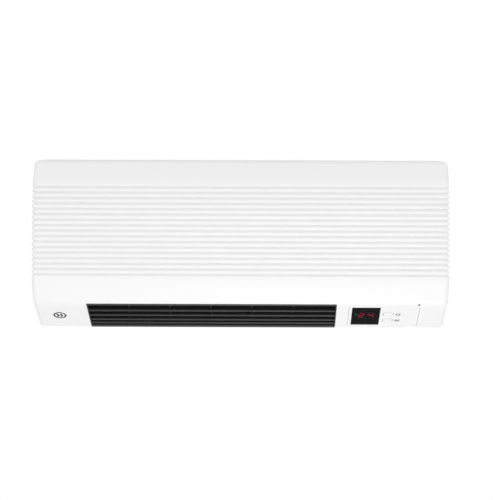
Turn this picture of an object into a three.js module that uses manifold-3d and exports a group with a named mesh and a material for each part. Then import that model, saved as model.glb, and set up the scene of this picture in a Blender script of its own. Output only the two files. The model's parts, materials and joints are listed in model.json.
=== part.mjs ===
// Wall-mounted fan convector heater. A ribbed front cover closes over a rear housing. Inside are a
// tangential fan with its motor, an air duct with finned ceramic heating elements, and the electronics.
//
// Frame: millimetres, +Z up, +X to the right seen from the front. The wall is the plane y = 0, the front
// faces -Y, and the origin is the centre of the back face, at mid-height.
import * as THREE from 'three';
import { mergeVertices } from 'three/addons/utils/BufferGeometryUtils.js';
import Module from 'manifold-3d';

const wasm = await Module();
wasm.setup();

// ---------------------------------------------------------------- driving dimensions

const WIDTH = 445;
const DEPTH = 115;
const HALF_HEIGHT = 92;
const WALL = 2.6; // moulded shell thickness
const GAP = 0.3; // clearance between neighbouring pieces
const END_RADIUS = 5; // round edge between the front and the ends
const PARTING = 26; // depth of the rear housing, where the front cover meets it
const OVERRUN = 14; // how far a raw body runs past the wall before it is trimmed

const GROOVES = { count: 17, top: 59.7, pitch: 5.83, height: 1.8, depth: 1.6, wrap: 22 };

// Slanted lower face, which holds the outlet and the control panel: its two corners in (y, z).
const SLOPE_TOP = { y: -103.5, z: -65.2 };
const SLOPE_BOTTOM = { y: -57, z: -HALF_HEIGHT };

const OUTLET = { left: -165.5, right: 103.3, top: 26, bottom: -29.5 };
const GRILLE = { recess: 0.4, depth: 8, wall: 2.2, sill: 4 };
const SLATS = { rows: [8.7, -2.2, -12.4, -20.2], thickness: 2.4, recess: 0.2, trim: 0.5 };
const OUTLET_RIBS = { count: 5, first: -120.9, pitch: 44.4, thickness: 2, recess: 3, trim: 0.2 };

const INTAKE = { left: -172, right: 108, back: -31, front: -83, rows: 6, bays: 5, rim: 3, slot: 5.2, bar: 3 };
const FILTER = { level: 78, height: 3, bar: 3, windows: 6, net: 0.6 };
const PANEL = { left: 116.7, right: 193, top: 23, bottom: -24.5, radius: 4 };
const WINDOW = { left: 120.3, right: 150.7, top: 19.6, bottom: -21.2, radius: 1 };
const BUTTON = { width: 10.4, height: 8.4, radius: 3, x: 160, proud: 0.6, travel: 0.5 };
const KEEPER = { margin: 1.2, thickness: 1, stem: 2, reach: 7.2 };
const BUTTON_ROWS = { power_button: 4, mode_button: -10.5 };
const PILOT = { x: 191.6, y: 25.2, radius: 1.1 };
const ROCKER = { y: -55, z: -28, width: 15, height: 21, proud: 1.5 };

const FAN = { y: -50, z: 26, radius: 27, bladeRoot: 20.5, left: -163, right: 100, blades: 18 };
const SHAFT_RADIUS = 2.5;
const DUCT = { left: -169, right: 104.5, plate: 2.5, wall: 2 };
const HEATER = { y: -67, z: -44, tilt: -16.9, left: -158, right: 92, pitch: 17, bars: 3 };

const KEYHOLE = { x: 135, z: 48, radius: 4.5, slot: 2.4, rise: 12, pocket: 8 };
const GLAND = { x: 180, y: -13, bore: 3.8, neck: 5.5, flange: 7.6, outside: 1.2, inside: 2.5 };
const COVER_SCREWS = { xs: [-190, -30, 150], y: -35, pilot: 1.8 };
const BOARD = { left: 156, right: 212, low: -70, high: 66, back: -14.4, thickness: 1.6 };

// ---------------------------------------------------------------- materials

const FINISHES = {
  white_shell: { color: 0xf4f4f2, roughness: 0.38, metalness: 0 },
  white_trim: { color: 0xeeeeec, roughness: 0.42, metalness: 0 },
  black_grille: { color: 0x17181a, roughness: 0.5, metalness: 0 },
  grey_plastic: { color: 0x8f9496, roughness: 0.6, metalness: 0 },
  duct_plastic: { color: 0xc9cbc8, roughness: 0.6, metalness: 0 },
  phenolic: { color: 0x2b2522, roughness: 0.7, metalness: 0 },
  smoked_window: { color: 0x0b0b0c, roughness: 0.12, metalness: 0 },
  display_face: { color: 0x141414, roughness: 0.5, metalness: 0 },
  circuit_board: { color: 0x1f5b34, roughness: 0.55, metalness: 0 },
  relay_blue: { color: 0x2a4fa3, roughness: 0.45, metalness: 0 },
  capacitor_black: { color: 0x1c1c22, roughness: 0.4, metalness: 0 },
  coil_yellow: { color: 0xd2b33a, roughness: 0.6, metalness: 0 },
  terminal_green: { color: 0x3d8b4a, roughness: 0.5, metalness: 0 },
  aluminium: { color: 0xc7cacd, roughness: 0.35, metalness: 1 },
  steel: { color: 0x9ea2a6, roughness: 0.35, metalness: 1 },
  bronze: { color: 0xa9793e, roughness: 0.4, metalness: 1 },
  rubber: { color: 0x1b1b1b, roughness: 0.9, metalness: 0 },
  filter_net: { color: 0x55595c, roughness: 0.85, metalness: 0 },
  red_lead: { color: 0xa51f1b, roughness: 0.6, metalness: 0 },
  grey_lead: { color: 0x6f7275, roughness: 0.6, metalness: 0 },
  pilot_lens: { color: 0x3a3d40, roughness: 0.2, metalness: 0 },
};

// ---------------------------------------------------------------- geometry helpers

const X_AXIS = new THREE.Vector3(1, 0, 0);
const Y_AXIS = new THREE.Vector3(0, 1, 0);
const Z_AXIS = new THREE.Vector3(0, 0, 1);

// Outlines are drawn in the two axes that follow the extrusion axis: (y, z), (z, x) or (x, y).
const AXIS_FRAMES = {
  x: new THREE.Matrix4().makeBasis(Y_AXIS, Z_AXIS, X_AXIS),
  y: new THREE.Matrix4().makeBasis(Z_AXIS, X_AXIS, Y_AXIS),
  z: new THREE.Matrix4(),
};

function toSolid(geometry) {
  const bare = geometry.clone();
  bare.deleteAttribute('normal');
  bare.deleteAttribute('uv');
  const merged = mergeVertices(bare, 1e-4);
  return new wasm.Manifold(new wasm.Mesh({
    numProp: 3,
    vertProperties: new Float32Array(merged.attributes.position.array),
    triVerts: new Uint32Array(merged.index.array),
  }));
}

function toGeometry(solid) {
  const mesh = solid.getMesh();
  const geometry = new THREE.BufferGeometry();
  geometry.setAttribute('position', new THREE.BufferAttribute(mesh.vertProperties, 3));
  geometry.setIndex(new THREE.BufferAttribute(mesh.triVerts, 1));
  geometry.computeVertexNormals();
  return geometry;
}

function join(...solids) {
  return solids.flat().reduce((whole, next) => whole.add(next));
}

function cut(solid, ...tools) {
  return tools.flat().reduce((rest, tool) => rest.subtract(tool), solid);
}

function placed(geometry, matrix) {
  return matrix ? geometry.applyMatrix4(matrix) : geometry;
}

function box(x, y, z, matrix) {
  const geometry = new THREE.BoxGeometry(x[1] - x[0], y[1] - y[0], z[1] - z[0]);
  geometry.translate((x[0] + x[1]) / 2, (y[0] + y[1]) / 2, (z[0] + z[1]) / 2);
  return toSolid(placed(geometry, matrix));
}

function prism(axis, shape, span, matrix, bevel = {}) {
  const options = { depth: span[1] - span[0], bevelEnabled: false, curveSegments: 4, ...bevel };
  const geometry = new THREE.ExtrudeGeometry(shape, options);
  geometry.translate(0, 0, span[0]);
  geometry.applyMatrix4(AXIS_FRAMES[axis]);
  return toSolid(placed(geometry, matrix));
}

function rod(axis, radius, span, centre, matrix, sides = 24) {
  const geometry = new THREE.CylinderGeometry(radius, radius, span[1] - span[0], sides);
  geometry.rotateX(Math.PI / 2);
  geometry.translate(centre[0], centre[1], (span[0] + span[1]) / 2);
  geometry.applyMatrix4(AXIS_FRAMES[axis]);
  return toSolid(placed(geometry, matrix));
}

function pipe(axis, outer, inner, span, centre, matrix, sides = 24) {
  const bore = [span[0] - 1, span[1] + 1];
  return cut(
    rod(axis, outer, span, centre, matrix, sides),
    rod(axis, inner, bore, centre, matrix, sides),
  );
}

function polygon(points) {
  return new THREE.Shape(points.map(([u, v]) => new THREE.Vector2(u, v)));
}

function roundedRect(u, v, radius) {
  const shape = new THREE.Shape();
  shape.absarc(u[1] - radius, v[0] + radius, radius, -Math.PI / 2, 0);
  shape.absarc(u[1] - radius, v[1] - radius, radius, 0, Math.PI / 2);
  shape.absarc(u[0] + radius, v[1] - radius, radius, Math.PI / 2, Math.PI);
  shape.absarc(u[0] + radius, v[0] + radius, radius, Math.PI, 1.5 * Math.PI);
  shape.closePath();
  return shape;
}

// A wall of even thickness that follows a smooth curve; positive thickness lies to the curve's left.
function ribbon(points, thickness, steps = 18) {
  const curve = new THREE.SplineCurve(points.map(([u, v]) => new THREE.Vector2(u, v)));
  const near = curve.getPoints(steps);
  const far = near.map((point, index) => {
    const tangent = curve.getTangent(index / steps);
    return new THREE.Vector2(point.x - tangent.y * thickness, point.y + tangent.x * thickness);
  });
  return new THREE.Shape([...near, ...far.reverse()]);
}

function cable(points, radius, steps) {
  const curve = new THREE.CatmullRomCurve3(points.map((point) => new THREE.Vector3(...point)));
  const section = new THREE.Shape();
  section.absarc(0, 0, radius, 0, 2 * Math.PI);
  const options = { extrudePath: curve, steps, curveSegments: 4, bevelEnabled: false };
  return toSolid(new THREE.ExtrudeGeometry(section, options));
}

// ---------------------------------------------------------------- body outline

// Corners of the side section in (y, z), each with its round, going round from the top at the back.
const SECTION = [
  { y: OVERRUN, z: HALF_HEIGHT, round: 0 },
  { y: -58, z: HALF_HEIGHT, round: 160 },
  { y: -97.5, z: 88.3, round: 9 },
  { y: -109.3, z: 67, round: 50 },
  { y: -DEPTH, z: 34, round: 150 },
  { y: -DEPTH, z: -40, round: 45 },
  { y: SLOPE_TOP.y, z: SLOPE_TOP.z, round: 18 },
  { y: SLOPE_BOTTOM.y, z: SLOPE_BOTTOM.z, round: 6 },
  { y: OVERRUN, z: -HALF_HEIGHT, round: 0 },
];

// The section's corners moved inwards, so that every side lies `inset` inside the outer skin.
function insetCorners(inset) {
  const count = SECTION.length;
  const sides = SECTION.map((corner, index) => {
    const next = SECTION[(index + 1) % count];
    const along = new THREE.Vector2(next.y - corner.y, next.z - corner.z).normalize();
    const inward = new THREE.Vector2(-along.y, along.x);
    const start = new THREE.Vector2(corner.y, corner.z).addScaledVector(inward, inset);
    return { start, along };
  });
  return SECTION.map((corner, index) => {
    const before = sides[(index + count - 1) % count];
    const after = sides[index];
    const offset = after.start.clone().sub(before.start);
    const reach = offset.cross(after.along) / before.along.cross(after.along);
    const point = before.start.clone().addScaledVector(before.along, reach);
    return { point, before: before.along, after: after.along, round: Math.max(corner.round - inset, 0) };
  });
}

function roundedCorner({ point, before, after, round }) {
  if (round === 0) return [point];
  const turn = before.angleTo(after);
  const setback = round * Math.tan(turn / 2);
  const start = point.clone().addScaledVector(before, -setback);
  const centre = start.clone().add(new THREE.Vector2(-before.y, before.x).multiplyScalar(round));
  const steps = Math.max(3, Math.ceil(turn / 0.16));
  const first = Math.atan2(start.y - centre.y, start.x - centre.x);
  return Array.from({ length: steps + 1 }, (_, index) => {
    const angle = first + (turn * index) / steps;
    return new THREE.Vector2(centre.x + round * Math.cos(angle), centre.y + round * Math.sin(angle));
  });
}

// The whole body as one solid, `inset` inside the outer skin, with rounded ends.
function bodySolid(inset) {
  const shape = new THREE.Shape(insetCorners(inset).flatMap(roundedCorner));
  const round = Math.max(END_RADIUS - inset, 1);
  const half = WIDTH / 2 - inset - round;
  const bevel = {
    bevelEnabled: true,
    bevelThickness: round,
    bevelSize: round,
    bevelOffset: -round,
    bevelSegments: 3,
  };
  return prism('x', shape, [-half, half], null, bevel);
}

const FAR = 400;
const OUTER = bodySolid(0);
const INNER = bodySolid(WALL);

function between(yLow, yHigh) {
  return box([-FAR, FAR], [yLow, yHigh], [-FAR, FAR]);
}

// ---------------------------------------------------------------- slanted frame

// Local x runs along the heater, y up the slanted face and z out of it.
const SLOPE_ANGLE = Math.atan2(SLOPE_TOP.z - SLOPE_BOTTOM.z, SLOPE_TOP.y - SLOPE_BOTTOM.y);
const SLOPE = new THREE.Matrix4()
  .makeTranslation(0, (SLOPE_TOP.y + SLOPE_BOTTOM.y) / 2, (SLOPE_TOP.z + SLOPE_BOTTOM.z) / 2)
  .multiply(new THREE.Matrix4().makeRotationX(SLOPE_ANGLE));

const HEATER_FRAME = new THREE.Matrix4()
  .makeTranslation(0, HEATER.y, HEATER.z)
  .multiply(new THREE.Matrix4().makeRotationX(THREE.MathUtils.degToRad(HEATER.tilt)));

// ---------------------------------------------------------------- scene graph

const group = new THREE.Group();
const slopeGroup = new THREE.Group();
const heaterGroup = new THREE.Group();
slopeGroup.applyMatrix4(SLOPE);
heaterGroup.applyMatrix4(HEATER_FRAME);
group.add(slopeGroup, heaterGroup);

function addPart(name, finish, solid, parent = group) {
  const mesh = new THREE.Mesh(toGeometry(solid), new THREE.MeshStandardMaterial(FINISHES[finish]));
  mesh.name = name;
  parent.add(mesh);
}

// A pan-head screw along an axis: `head` is where its head seats, `sign` the way the point goes.
function screw(axis, centre, head, sign, length, radius = 1.5) {
  const shank = [head, head + sign * length].sort((a, b) => a - b);
  const cap = [head, head - sign * 1.4].sort((a, b) => a - b);
  const slot = [head - sign * 0.8, head - sign * 2].sort((a, b) => a - b);
  const blade = polygon([
    [centre[0] - 2, centre[1] - 0.4],
    [centre[0] + 2, centre[1] - 0.4],
    [centre[0] + 2, centre[1] + 0.4],
    [centre[0] - 2, centre[1] + 0.4],
  ]);
  const body = join(
    rod(axis, radius, [shank[0] - 0.01, shank[1] + 0.01], centre, null, 12),
    rod(axis, 3, cap, centre, null, 16),
  );
  return cut(body, prism(axis, blade, slot));
}

// ---------------------------------------------------------------- shells

function keyholeCut(side) {
  const x = side * KEYHOLE.x;
  const opening = [-WALL - 1, 1];
  const slot = box(
    [x - KEYHOLE.slot, x + KEYHOLE.slot],
    opening,
    [KEYHOLE.z, KEYHOLE.z + KEYHOLE.rise],
  );
  return join(
    rod('y', KEYHOLE.radius, opening, [KEYHOLE.z, x]),
    slot,
    rod('y', KEYHOLE.slot, opening, [KEYHOLE.z + KEYHOLE.rise, x], null, 16),
  );
}

// A closed cup behind each keyhole keeps the wall screw's head away from the live parts.
function keyholeCup(side) {
  const x = side * KEYHOLE.x;
  const half = KEYHOLE.radius + 1.5;
  const low = KEYHOLE.z - half;
  const high = KEYHOLE.z + KEYHOLE.rise + half;
  const deep = -WALL - KEYHOLE.pocket;
  const outer = box([x - half - 1.4, x + half + 1.4], [deep - 1.4, -WALL + 0.5], [low - 1.4, high + 1.4]);
  return cut(outer, box([x - half, x + half], [deep, -WALL + 1], [low, high]));
}

function coverBoss(x) {
  const top = -HALF_HEIGHT + WALL + GAP;
  const block = box([x - 6, x + 6], [-42, -WALL + 0.5], [top, top + 15]);
  return cut(block, rod('z', COVER_SCREWS.pilot, [top - 1, top + 12], [x, COVER_SCREWS.y], null, 16));
}

const BOARD_POSTS = [
  [BOARD.left + 6, BOARD.low + 6],
  [BOARD.right - 6, BOARD.low + 6],
  [BOARD.left + 6, BOARD.high - 6],
  [BOARD.right - 6, BOARD.high - 6],
];

function boardPost([x, z]) {
  const front = BOARD.back + GAP;
  const post = rod('y', 4, [front, -WALL + 0.5], [z, x], null, 16);
  return cut(post, rod('y', 1.8, [front - 1, front + 9], [z, x], null, 12));
}

function rearHousing() {
  const tray = cut(OUTER.intersect(between(-PARTING + GAP / 2, 0)), INNER.intersect(between(-FAR, -WALL)));
  const bosses = COVER_SCREWS.xs.map(coverBoss);
  const whole = join(tray, bosses, BOARD_POSTS.map(boardPost), keyholeCup(-1), keyholeCup(1));
  const gland = rod('z', GLAND.neck + GAP, [-HALF_HEIGHT - 1, -HALF_HEIGHT + WALL + 1], [GLAND.x, GLAND.y]);
  return cut(whole, keyholeCut(-1), keyholeCut(1), gland);
}

function grooveCutter() {
  const core = bodySolid(GROOVES.depth);
  const back = -DEPTH + GROOVES.wrap;
  const slabs = Array.from({ length: GROOVES.count }, (_, index) => {
    const z = GROOVES.top - index * GROOVES.pitch;
    return box([-FAR, FAR], [-DEPTH - 5, back], [z - GROOVES.height / 2, z + GROOVES.height / 2]);
  });
  return cut(join(slabs), core);
}

function slopeBox(x, y, z) {
  return box(x, y, z, SLOPE);
}

const INTAKE_LEVEL = 70; // below the top wall, above the filter's supports

function intakePrism(margin) {
  return box(
    [INTAKE.left + margin, INTAKE.right - margin],
    [INTAKE.front + margin, INTAKE.back - margin],
    [INTAKE_LEVEL, FAR],
  );
}

function rockerHole(margin) {
  const halfY = ROCKER.width / 2 - 1 + margin;
  const halfZ = ROCKER.height / 2 - 1 + margin;
  return box(
    [200, WIDTH / 2 + 10],
    [ROCKER.y - halfY, ROCKER.y + halfY],
    [ROCKER.z - halfZ, ROCKER.z + halfZ],
  );
}

function frontCover() {
  const shell = cut(OUTER, INNER).intersect(between(-FAR, -PARTING - GAP / 2));
  const outlet = slopeBox([OUTLET.left, OUTLET.right], [OUTLET.bottom, OUTLET.top], [-14, 14]);
  const panel = roundedRect([PANEL.left, PANEL.right], [PANEL.bottom, PANEL.top], PANEL.radius);
  const screwHoles = COVER_SCREWS.xs.map((x) => join(
    rod('z', 3.7, [-HALF_HEIGHT - 1, -HALF_HEIGHT + 1.4], [x, COVER_SCREWS.y], null, 16),
    rod('z', 1.8, [-HALF_HEIGHT - 1, -HALF_HEIGHT + WALL + 1], [x, COVER_SCREWS.y], null, 12),
  ));
  return cut(
    shell,
    grooveCutter(),
    outlet,
    prism('z', panel, [-14, 14], SLOPE),
    rod('z', PILOT.radius + GAP, [-14, 14], [PILOT.x, PILOT.y], SLOPE, 16),
    intakePrism(0),
    rockerHole(GAP),
    screwHoles,
  );
}

function intakeGrille() {
  const plate = cut(OUTER, INNER).intersect(intakePrism(GAP));
  const front = INTAKE.front + INTAKE.rim;
  const left = INTAKE.left + INTAKE.rim;
  const rowPitch = (INTAKE.back - INTAKE.rim - front) / INTAKE.rows;
  const bayPitch = (INTAKE.right - INTAKE.rim - left) / INTAKE.bays;
  const slots = [];
  for (let row = 0; row < INTAKE.rows; row += 1) {
    for (let bay = 0; bay < INTAKE.bays; bay += 1) {
      const y = front + (row + 0.5) * rowPitch;
      const x = [left + bay * bayPitch + INTAKE.bar / 2, left + (bay + 1) * bayPitch - INTAKE.bar / 2];
      slots.push(box(x, [y - INTAKE.slot / 2, y + INTAKE.slot / 2], [INTAKE_LEVEL, FAR]));
    }
  }
  return cut(plate, slots);
}

function filterFrame() {
  const x = [INTAKE.left + 2, INTAKE.right - 2];
  const y = [INTAKE.front - 0.5, INTAKE.back + 0.5];
  const z = [FILTER.level, FILTER.level + FILTER.height];
  const pitch = (x[1] - x[0] - FILTER.bar) / FILTER.windows;
  const openings = Array.from({ length: FILTER.windows }, (_, index) => {
    const left = x[0] + FILTER.bar + index * pitch;
    const right = left + pitch - FILTER.bar;
    return box([left, right], [y[0] + FILTER.bar, y[1] - FILTER.bar], [z[0] - 1, z[1] + 1]);
  });
  return cut(box(x, y, z), openings);
}

function filterNet() {
  const top = FILTER.level - GAP;
  return box([INTAKE.left + 3, INTAKE.right - 3], [INTAKE.front, INTAKE.back], [top - FILTER.net, top]);
}

addPart('rear_housing', 'white_trim', rearHousing());
addPart('front_cover', 'white_shell', frontCover());
addPart('intake_grille', 'white_trim', intakeGrille());
addPart('filter_frame', 'grey_plastic', filterFrame());
addPart('filter_net', 'filter_net', filterNet());

COVER_SCREWS.xs.forEach((x, index) => {
  const seat = -HALF_HEIGHT + 1.4 - GAP;
  addPart(`cover_screw_${index + 1}`, 'steel', screw('z', [x, COVER_SCREWS.y], seat, 1, 11));
});

// ---------------------------------------------------------------- outlet grille

function outletGrille() {
  const x = [OUTLET.left + GAP, OUTLET.right - GAP];
  const y = [OUTLET.bottom + GAP, OUTLET.top - GAP];
  const front = -GRILLE.recess;
  const back = front - GRILLE.depth;
  const opening = slopeBox(
    [x[0] + GRILLE.wall, x[1] - GRILLE.wall],
    [y[0] + GRILLE.sill, y[1] - GRILLE.wall],
    [back - 1, front + 1],
  );
  const slats = SLATS.rows.map((at) => {
    const edges = [at - SLATS.thickness / 2, at + SLATS.thickness / 2];
    return slopeBox([x[0] + 1, x[1] - 1], edges, [back + SLATS.trim, front - SLATS.recess]);
  });
  const ribs = Array.from({ length: OUTLET_RIBS.count }, (_, index) => {
    const at = OUTLET_RIBS.first + index * OUTLET_RIBS.pitch;
    const sides = [at - OUTLET_RIBS.thickness / 2, at + OUTLET_RIBS.thickness / 2];
    return slopeBox(sides, [y[0] + 1, y[1] - 1], [back + OUTLET_RIBS.trim, front - OUTLET_RIBS.recess]);
  });
  return join(cut(slopeBox(x, y, [back, front]), opening), slats, ribs);
}

addPart('outlet_grille', 'black_grille', outletGrille());

// ---------------------------------------------------------------- air duct

const SCROLL_CURVE = [[-24, 66], [-16.5, 42], [-15.5, 20], [-22, -8], [-34, -38], [-44, -62], [-50, -78.5]];
const FRONT_CURVE = [[-92, 66], [-87, 44], [-80.6, 22], [-84, 4], [-92, -22], [-96.5, -43], [-98, -56.6]];
const PLATE_OUTLINE = [[-5, 64], [-94, 64], [-104, 20], [-104, -40], [-98, -56.6], [-54, -82.4], [-5, -82.4]];
const HEATER_WINDOW = { half: [24, 6] };

function endPlate(x, shaftHole) {
  const plate = prism('x', polygon(PLATE_OUTLINE), x);
  return cut(plate, rod('x', shaftHole, [x[0] - 1, x[1] + 1], [FAN.y, FAN.z]));
}

const LEFT_PLATE = [DUCT.left - DUCT.plate, DUCT.left];
const RIGHT_PLATE = [DUCT.right, DUCT.right + DUCT.plate];
const DUCT_SPAN = [DUCT.left + GAP, DUCT.right - GAP];
const MOUNT_SCREWS = [[FAN.y - 24, FAN.z + 26], [FAN.y + 24, FAN.z - 26]];

function rightEndPlate() {
  const [halfY, halfZ] = HEATER_WINDOW.half;
  const span = [RIGHT_PLATE[0] - 1, RIGHT_PLATE[1] + 1];
  const tabWindow = box(span, [-halfY, halfY], [-halfZ, halfZ], HEATER_FRAME);
  const pilots = MOUNT_SCREWS.map((centre) => rod('x', 1.8, span, centre, null, 12));
  return cut(endPlate(RIGHT_PLATE, 10), tabWindow, pilots);
}

addPart('rear_scroll', 'duct_plastic', prism('x', ribbon(SCROLL_CURVE, DUCT.wall), DUCT_SPAN));
addPart('front_duct', 'duct_plastic', prism('x', ribbon(FRONT_CURVE, -DUCT.wall), DUCT_SPAN));
addPart('left_end_plate', 'duct_plastic', endPlate(LEFT_PLATE, 9));
addPart('right_end_plate', 'duct_plastic', rightEndPlate());

// ---------------------------------------------------------------- tangential fan

const FAN_CENTRE = [FAN.y, FAN.z];
const HUB_RADIUS = 8;
const STUB = { left: -177, right: -156 };
const DISC = 1.5;

// One blade's section: a thin forward-curved strip between the root circle and the rim.
function bladeShape(angle) {
  const radii = [FAN.bladeRoot, FAN.radius - 0.3];
  const leads = [0, 0.2];
  const half = 0.6;
  const side = (sign) => radii.map((radius, index) => {
    const turn = angle + leads[index] + (sign * half) / radius;
    return [FAN.y + radius * Math.cos(turn), FAN.z + radius * Math.sin(turn)];
  });
  return polygon([...side(-1), ...side(1).reverse()]);
}

function impeller() {
  const span = [FAN.left, FAN.right];
  const blades = Array.from({ length: FAN.blades }, (_, index) => (
    prism('x', bladeShape((2 * Math.PI * index) / FAN.blades), span)
  ));
  const ends = [
    rod('x', FAN.radius, [FAN.left, FAN.left + DISC], FAN_CENTRE, null, 36),
    rod('x', FAN.radius, [FAN.right - DISC, FAN.right], FAN_CENTRE, null, 36),
  ];
  const rings = [1 / 3, 2 / 3].map((share) => {
    const x = FAN.left + share * (FAN.right - FAN.left);
    return pipe('x', FAN.radius, FAN.bladeRoot - 1, [x, x + DISC], FAN_CENTRE, null, 36);
  });
  const hubs = [
    rod('x', HUB_RADIUS, [FAN.left, FAN.left + 9], FAN_CENTRE),
    rod('x', HUB_RADIUS, [FAN.right - 13, FAN.right], FAN_CENTRE),
  ];
  const bores = [
    rod('x', SHAFT_RADIUS + GAP, [FAN.left - 1, STUB.right + GAP], FAN_CENTRE),
    rod('x', SHAFT_RADIUS + GAP, [FAN.right - 11, FAN.right + 1], FAN_CENTRE),
  ];
  const setScrewBore = rod('y', 1.8, [FAN.y - HUB_RADIUS - 1, FAN.y], [FAN.z, FAN.right - 6], null, 12);
  return cut(join(blades, ends, rings, hubs), bores, setScrewBore);
}

const BEARING = [-175, -167];
const setScrewSpan = [FAN.y - HUB_RADIUS + 0.4, FAN.y - SHAFT_RADIUS - GAP];

addPart('impeller', 'black_grille', impeller());
addPart('impeller_stub_shaft', 'steel', rod('x', SHAFT_RADIUS, [STUB.left, STUB.right], FAN_CENTRE));
addPart('hub_set_screw', 'steel', rod('y', 1.5, setScrewSpan, [FAN.z, FAN.right - 6], null, 12));
addPart('bearing_bush', 'bronze', pipe('x', 5, SHAFT_RADIUS + GAP, BEARING, FAN_CENTRE));
addPart('bearing_rubber', 'rubber', pipe('x', 8.7, 5 + GAP, BEARING, FAN_CENTRE));

// ---------------------------------------------------------------- motor

const MOTOR = { left: 112, right: 146, radius: 26, bore: 15.5, rotor: 15 };

function motorStator() {
  const can = rod('x', MOTOR.radius, [MOTOR.left, MOTOR.right], FAN_CENTRE, null, 24);
  const bearingBore = [MOTOR.left - 1, MOTOR.right + 1];
  return cut(
    can,
    rod('x', MOTOR.bore, [MOTOR.left + 3, MOTOR.right - 3], FAN_CENTRE),
    rod('x', SHAFT_RADIUS + GAP, bearingBore, FAN_CENTRE),
  );
}

function motorRotor() {
  return join(
    rod('x', SHAFT_RADIUS, [FAN.right - 10.5, MOTOR.right + 4], FAN_CENTRE),
    rod('x', MOTOR.rotor, [MOTOR.left + 5, MOTOR.right - 5], FAN_CENTRE),
  );
}

function motorMount() {
  const back = RIGHT_PLATE[1] + GAP;
  const flangeOutline = roundedRect([FAN.y - 28, FAN.y + 28], [FAN.z - 30, FAN.z + 30], 4);
  const flange = prism('x', flangeOutline, [back, back + 2]);
  const cup = rod('x', MOTOR.radius + GAP + 2, [back, MOTOR.left + 18], FAN_CENTRE, null, 24);
  const span = [back - 1, FAR];
  return cut(
    join(flange, cup),
    rod('x', MOTOR.radius + GAP, [back + 2, FAR], FAN_CENTRE, null, 24),
    rod('x', 10, span, FAN_CENTRE),
    MOUNT_SCREWS.map((centre) => rod('x', 1.8, span, centre, null, 12)),
  );
}

addPart('motor_stator', 'steel', motorStator());
addPart('motor_rotor', 'steel', motorRotor());
addPart('motor_mount', 'grey_plastic', motorMount());
MOUNT_SCREWS.forEach((centre, index) => {
  const seat = RIGHT_PLATE[1] + GAP + 2 + GAP;
  addPart(`motor_screw_${index + 1}`, 'steel', screw('x', centre, seat, -1, 7));
});

// ---------------------------------------------------------------- ceramic heater

const FIN = 0.8; // height of the fin strip, measured across the element

// One element: a flat tube of ceramic stones between two corrugated fin strips and their rails.
function heaterElement() {
  const x = [HEATER.left, HEATER.right];
  const z = [-7, 7];
  const turns = 18;
  const step = (x[1] - x[0] - 4) / turns;
  const zigzag = (low, high) => {
    const lower = Array.from({ length: turns + 1 }, (_, index) => (
      [x[0] + 2 + index * step, index % 2 === 0 ? low : high]
    ));
    const upper = lower.map(([u, v]) => [u, v + FIN]).reverse();
    return prism('z', polygon([...lower, ...upper]), z);
  };
  return join(
    box(x, [-1.5, 1.5], z),
    box(x, [-7.5, -6.7], z),
    box(x, [6.7, 7.5], z),
    zigzag(1.3, 6.9 - FIN),
    zigzag(-6.9, -1.3 - FIN),
  );
}

for (let index = 0; index < HEATER.bars; index += 1) {
  const mesh = new THREE.Mesh(
    toGeometry(heaterElement()),
    new THREE.MeshStandardMaterial(FINISHES.aluminium),
  );
  mesh.name = `heater_element_${index + 1}`;
  mesh.position.y = (index - 1) * HEATER.pitch;
  heaterGroup.add(mesh);
}

const HOLDER = { y: 26.5, z: 9 };

function heaterHolder(x) {
  return box(x, [-HOLDER.y, HOLDER.y], [-HOLDER.z, HOLDER.z]);
}

// The live end carries three spade tabs, which reach through the end plate's window.
function liveHolder() {
  const block = heaterHolder([HEATER.right + GAP, DUCT_SPAN[1]]);
  const tabs = [-1, 0, 1].map((side) => {
    const y = side * HEATER.pitch;
    return box([DUCT_SPAN[1] - 1, RIGHT_PLATE[1] + 8], [y - 3, y + 3], [-0.4, 0.4]);
  });
  return join(block, tabs);
}

addPart('heater_holder_left', 'phenolic', heaterHolder([DUCT_SPAN[0], HEATER.left - GAP]), heaterGroup);
addPart('heater_holder_right', 'phenolic', liveHolder(), heaterGroup);

const CUTOUT = { y: -50, z: -16 };
addPart('thermal_cutout', 'phenolic', join(
  rod('x', 7, [DUCT_SPAN[1] - 7, DUCT_SPAN[1]], [CUTOUT.y, CUTOUT.z]),
  rod('x', 6, [DUCT_SPAN[1] - 9, DUCT_SPAN[1] - 6], [CUTOUT.y, CUTOUT.z]),
));
addPart('thermal_fuse', 'aluminium', rod('x', 2, [88, DUCT_SPAN[1]], [-66, -16], null, 16));

// ---------------------------------------------------------------- power board

const BOARD_FRONT = BOARD.back - BOARD.thickness;

function powerBoard() {
  const plate = box([BOARD.left, BOARD.right], [BOARD_FRONT, BOARD.back], [BOARD.low, BOARD.high]);
  const span = [BOARD_FRONT - 1, BOARD.back + 1];
  const holes = BOARD_POSTS.map(([x, z]) => rod('y', 1.8, span, [z, x], null, 12));
  return cut(plate, holes);
}

// A component standing on the board's front face.
function onBoard(x, z, height) {
  return box(x, [BOARD_FRONT - GAP - height, BOARD_FRONT - GAP], z);
}

const TERMINAL_HEIGHT = 12;

addPart('power_board', 'circuit_board', powerBoard());
addPart('relay_1', 'relay_blue', onBoard([160, 179], [-40, -24.5], 15));
addPart('relay_2', 'relay_blue', onBoard([184, 203], [-40, -24.5], 15));
addPart('transformer', 'coil_yellow', onBoard([176, 204], [-14, 12], 21));
addPart('terminal_block', 'terminal_green', onBoard([172, 200], [-62, -50], TERMINAL_HEIGHT));
addPart('capacitor', 'capacitor_black', rod(
  'y',
  6.3,
  [BOARD_FRONT - GAP - 20, BOARD_FRONT - GAP],
  [30, 194],
));
BOARD_POSTS.forEach(([x, z], index) => {
  const seat = BOARD_FRONT - GAP;
  addPart(`board_screw_${index + 1}`, 'steel', screw('y', [z, x], seat, 1, 8));
});

// ---------------------------------------------------------------- control panel

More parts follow.
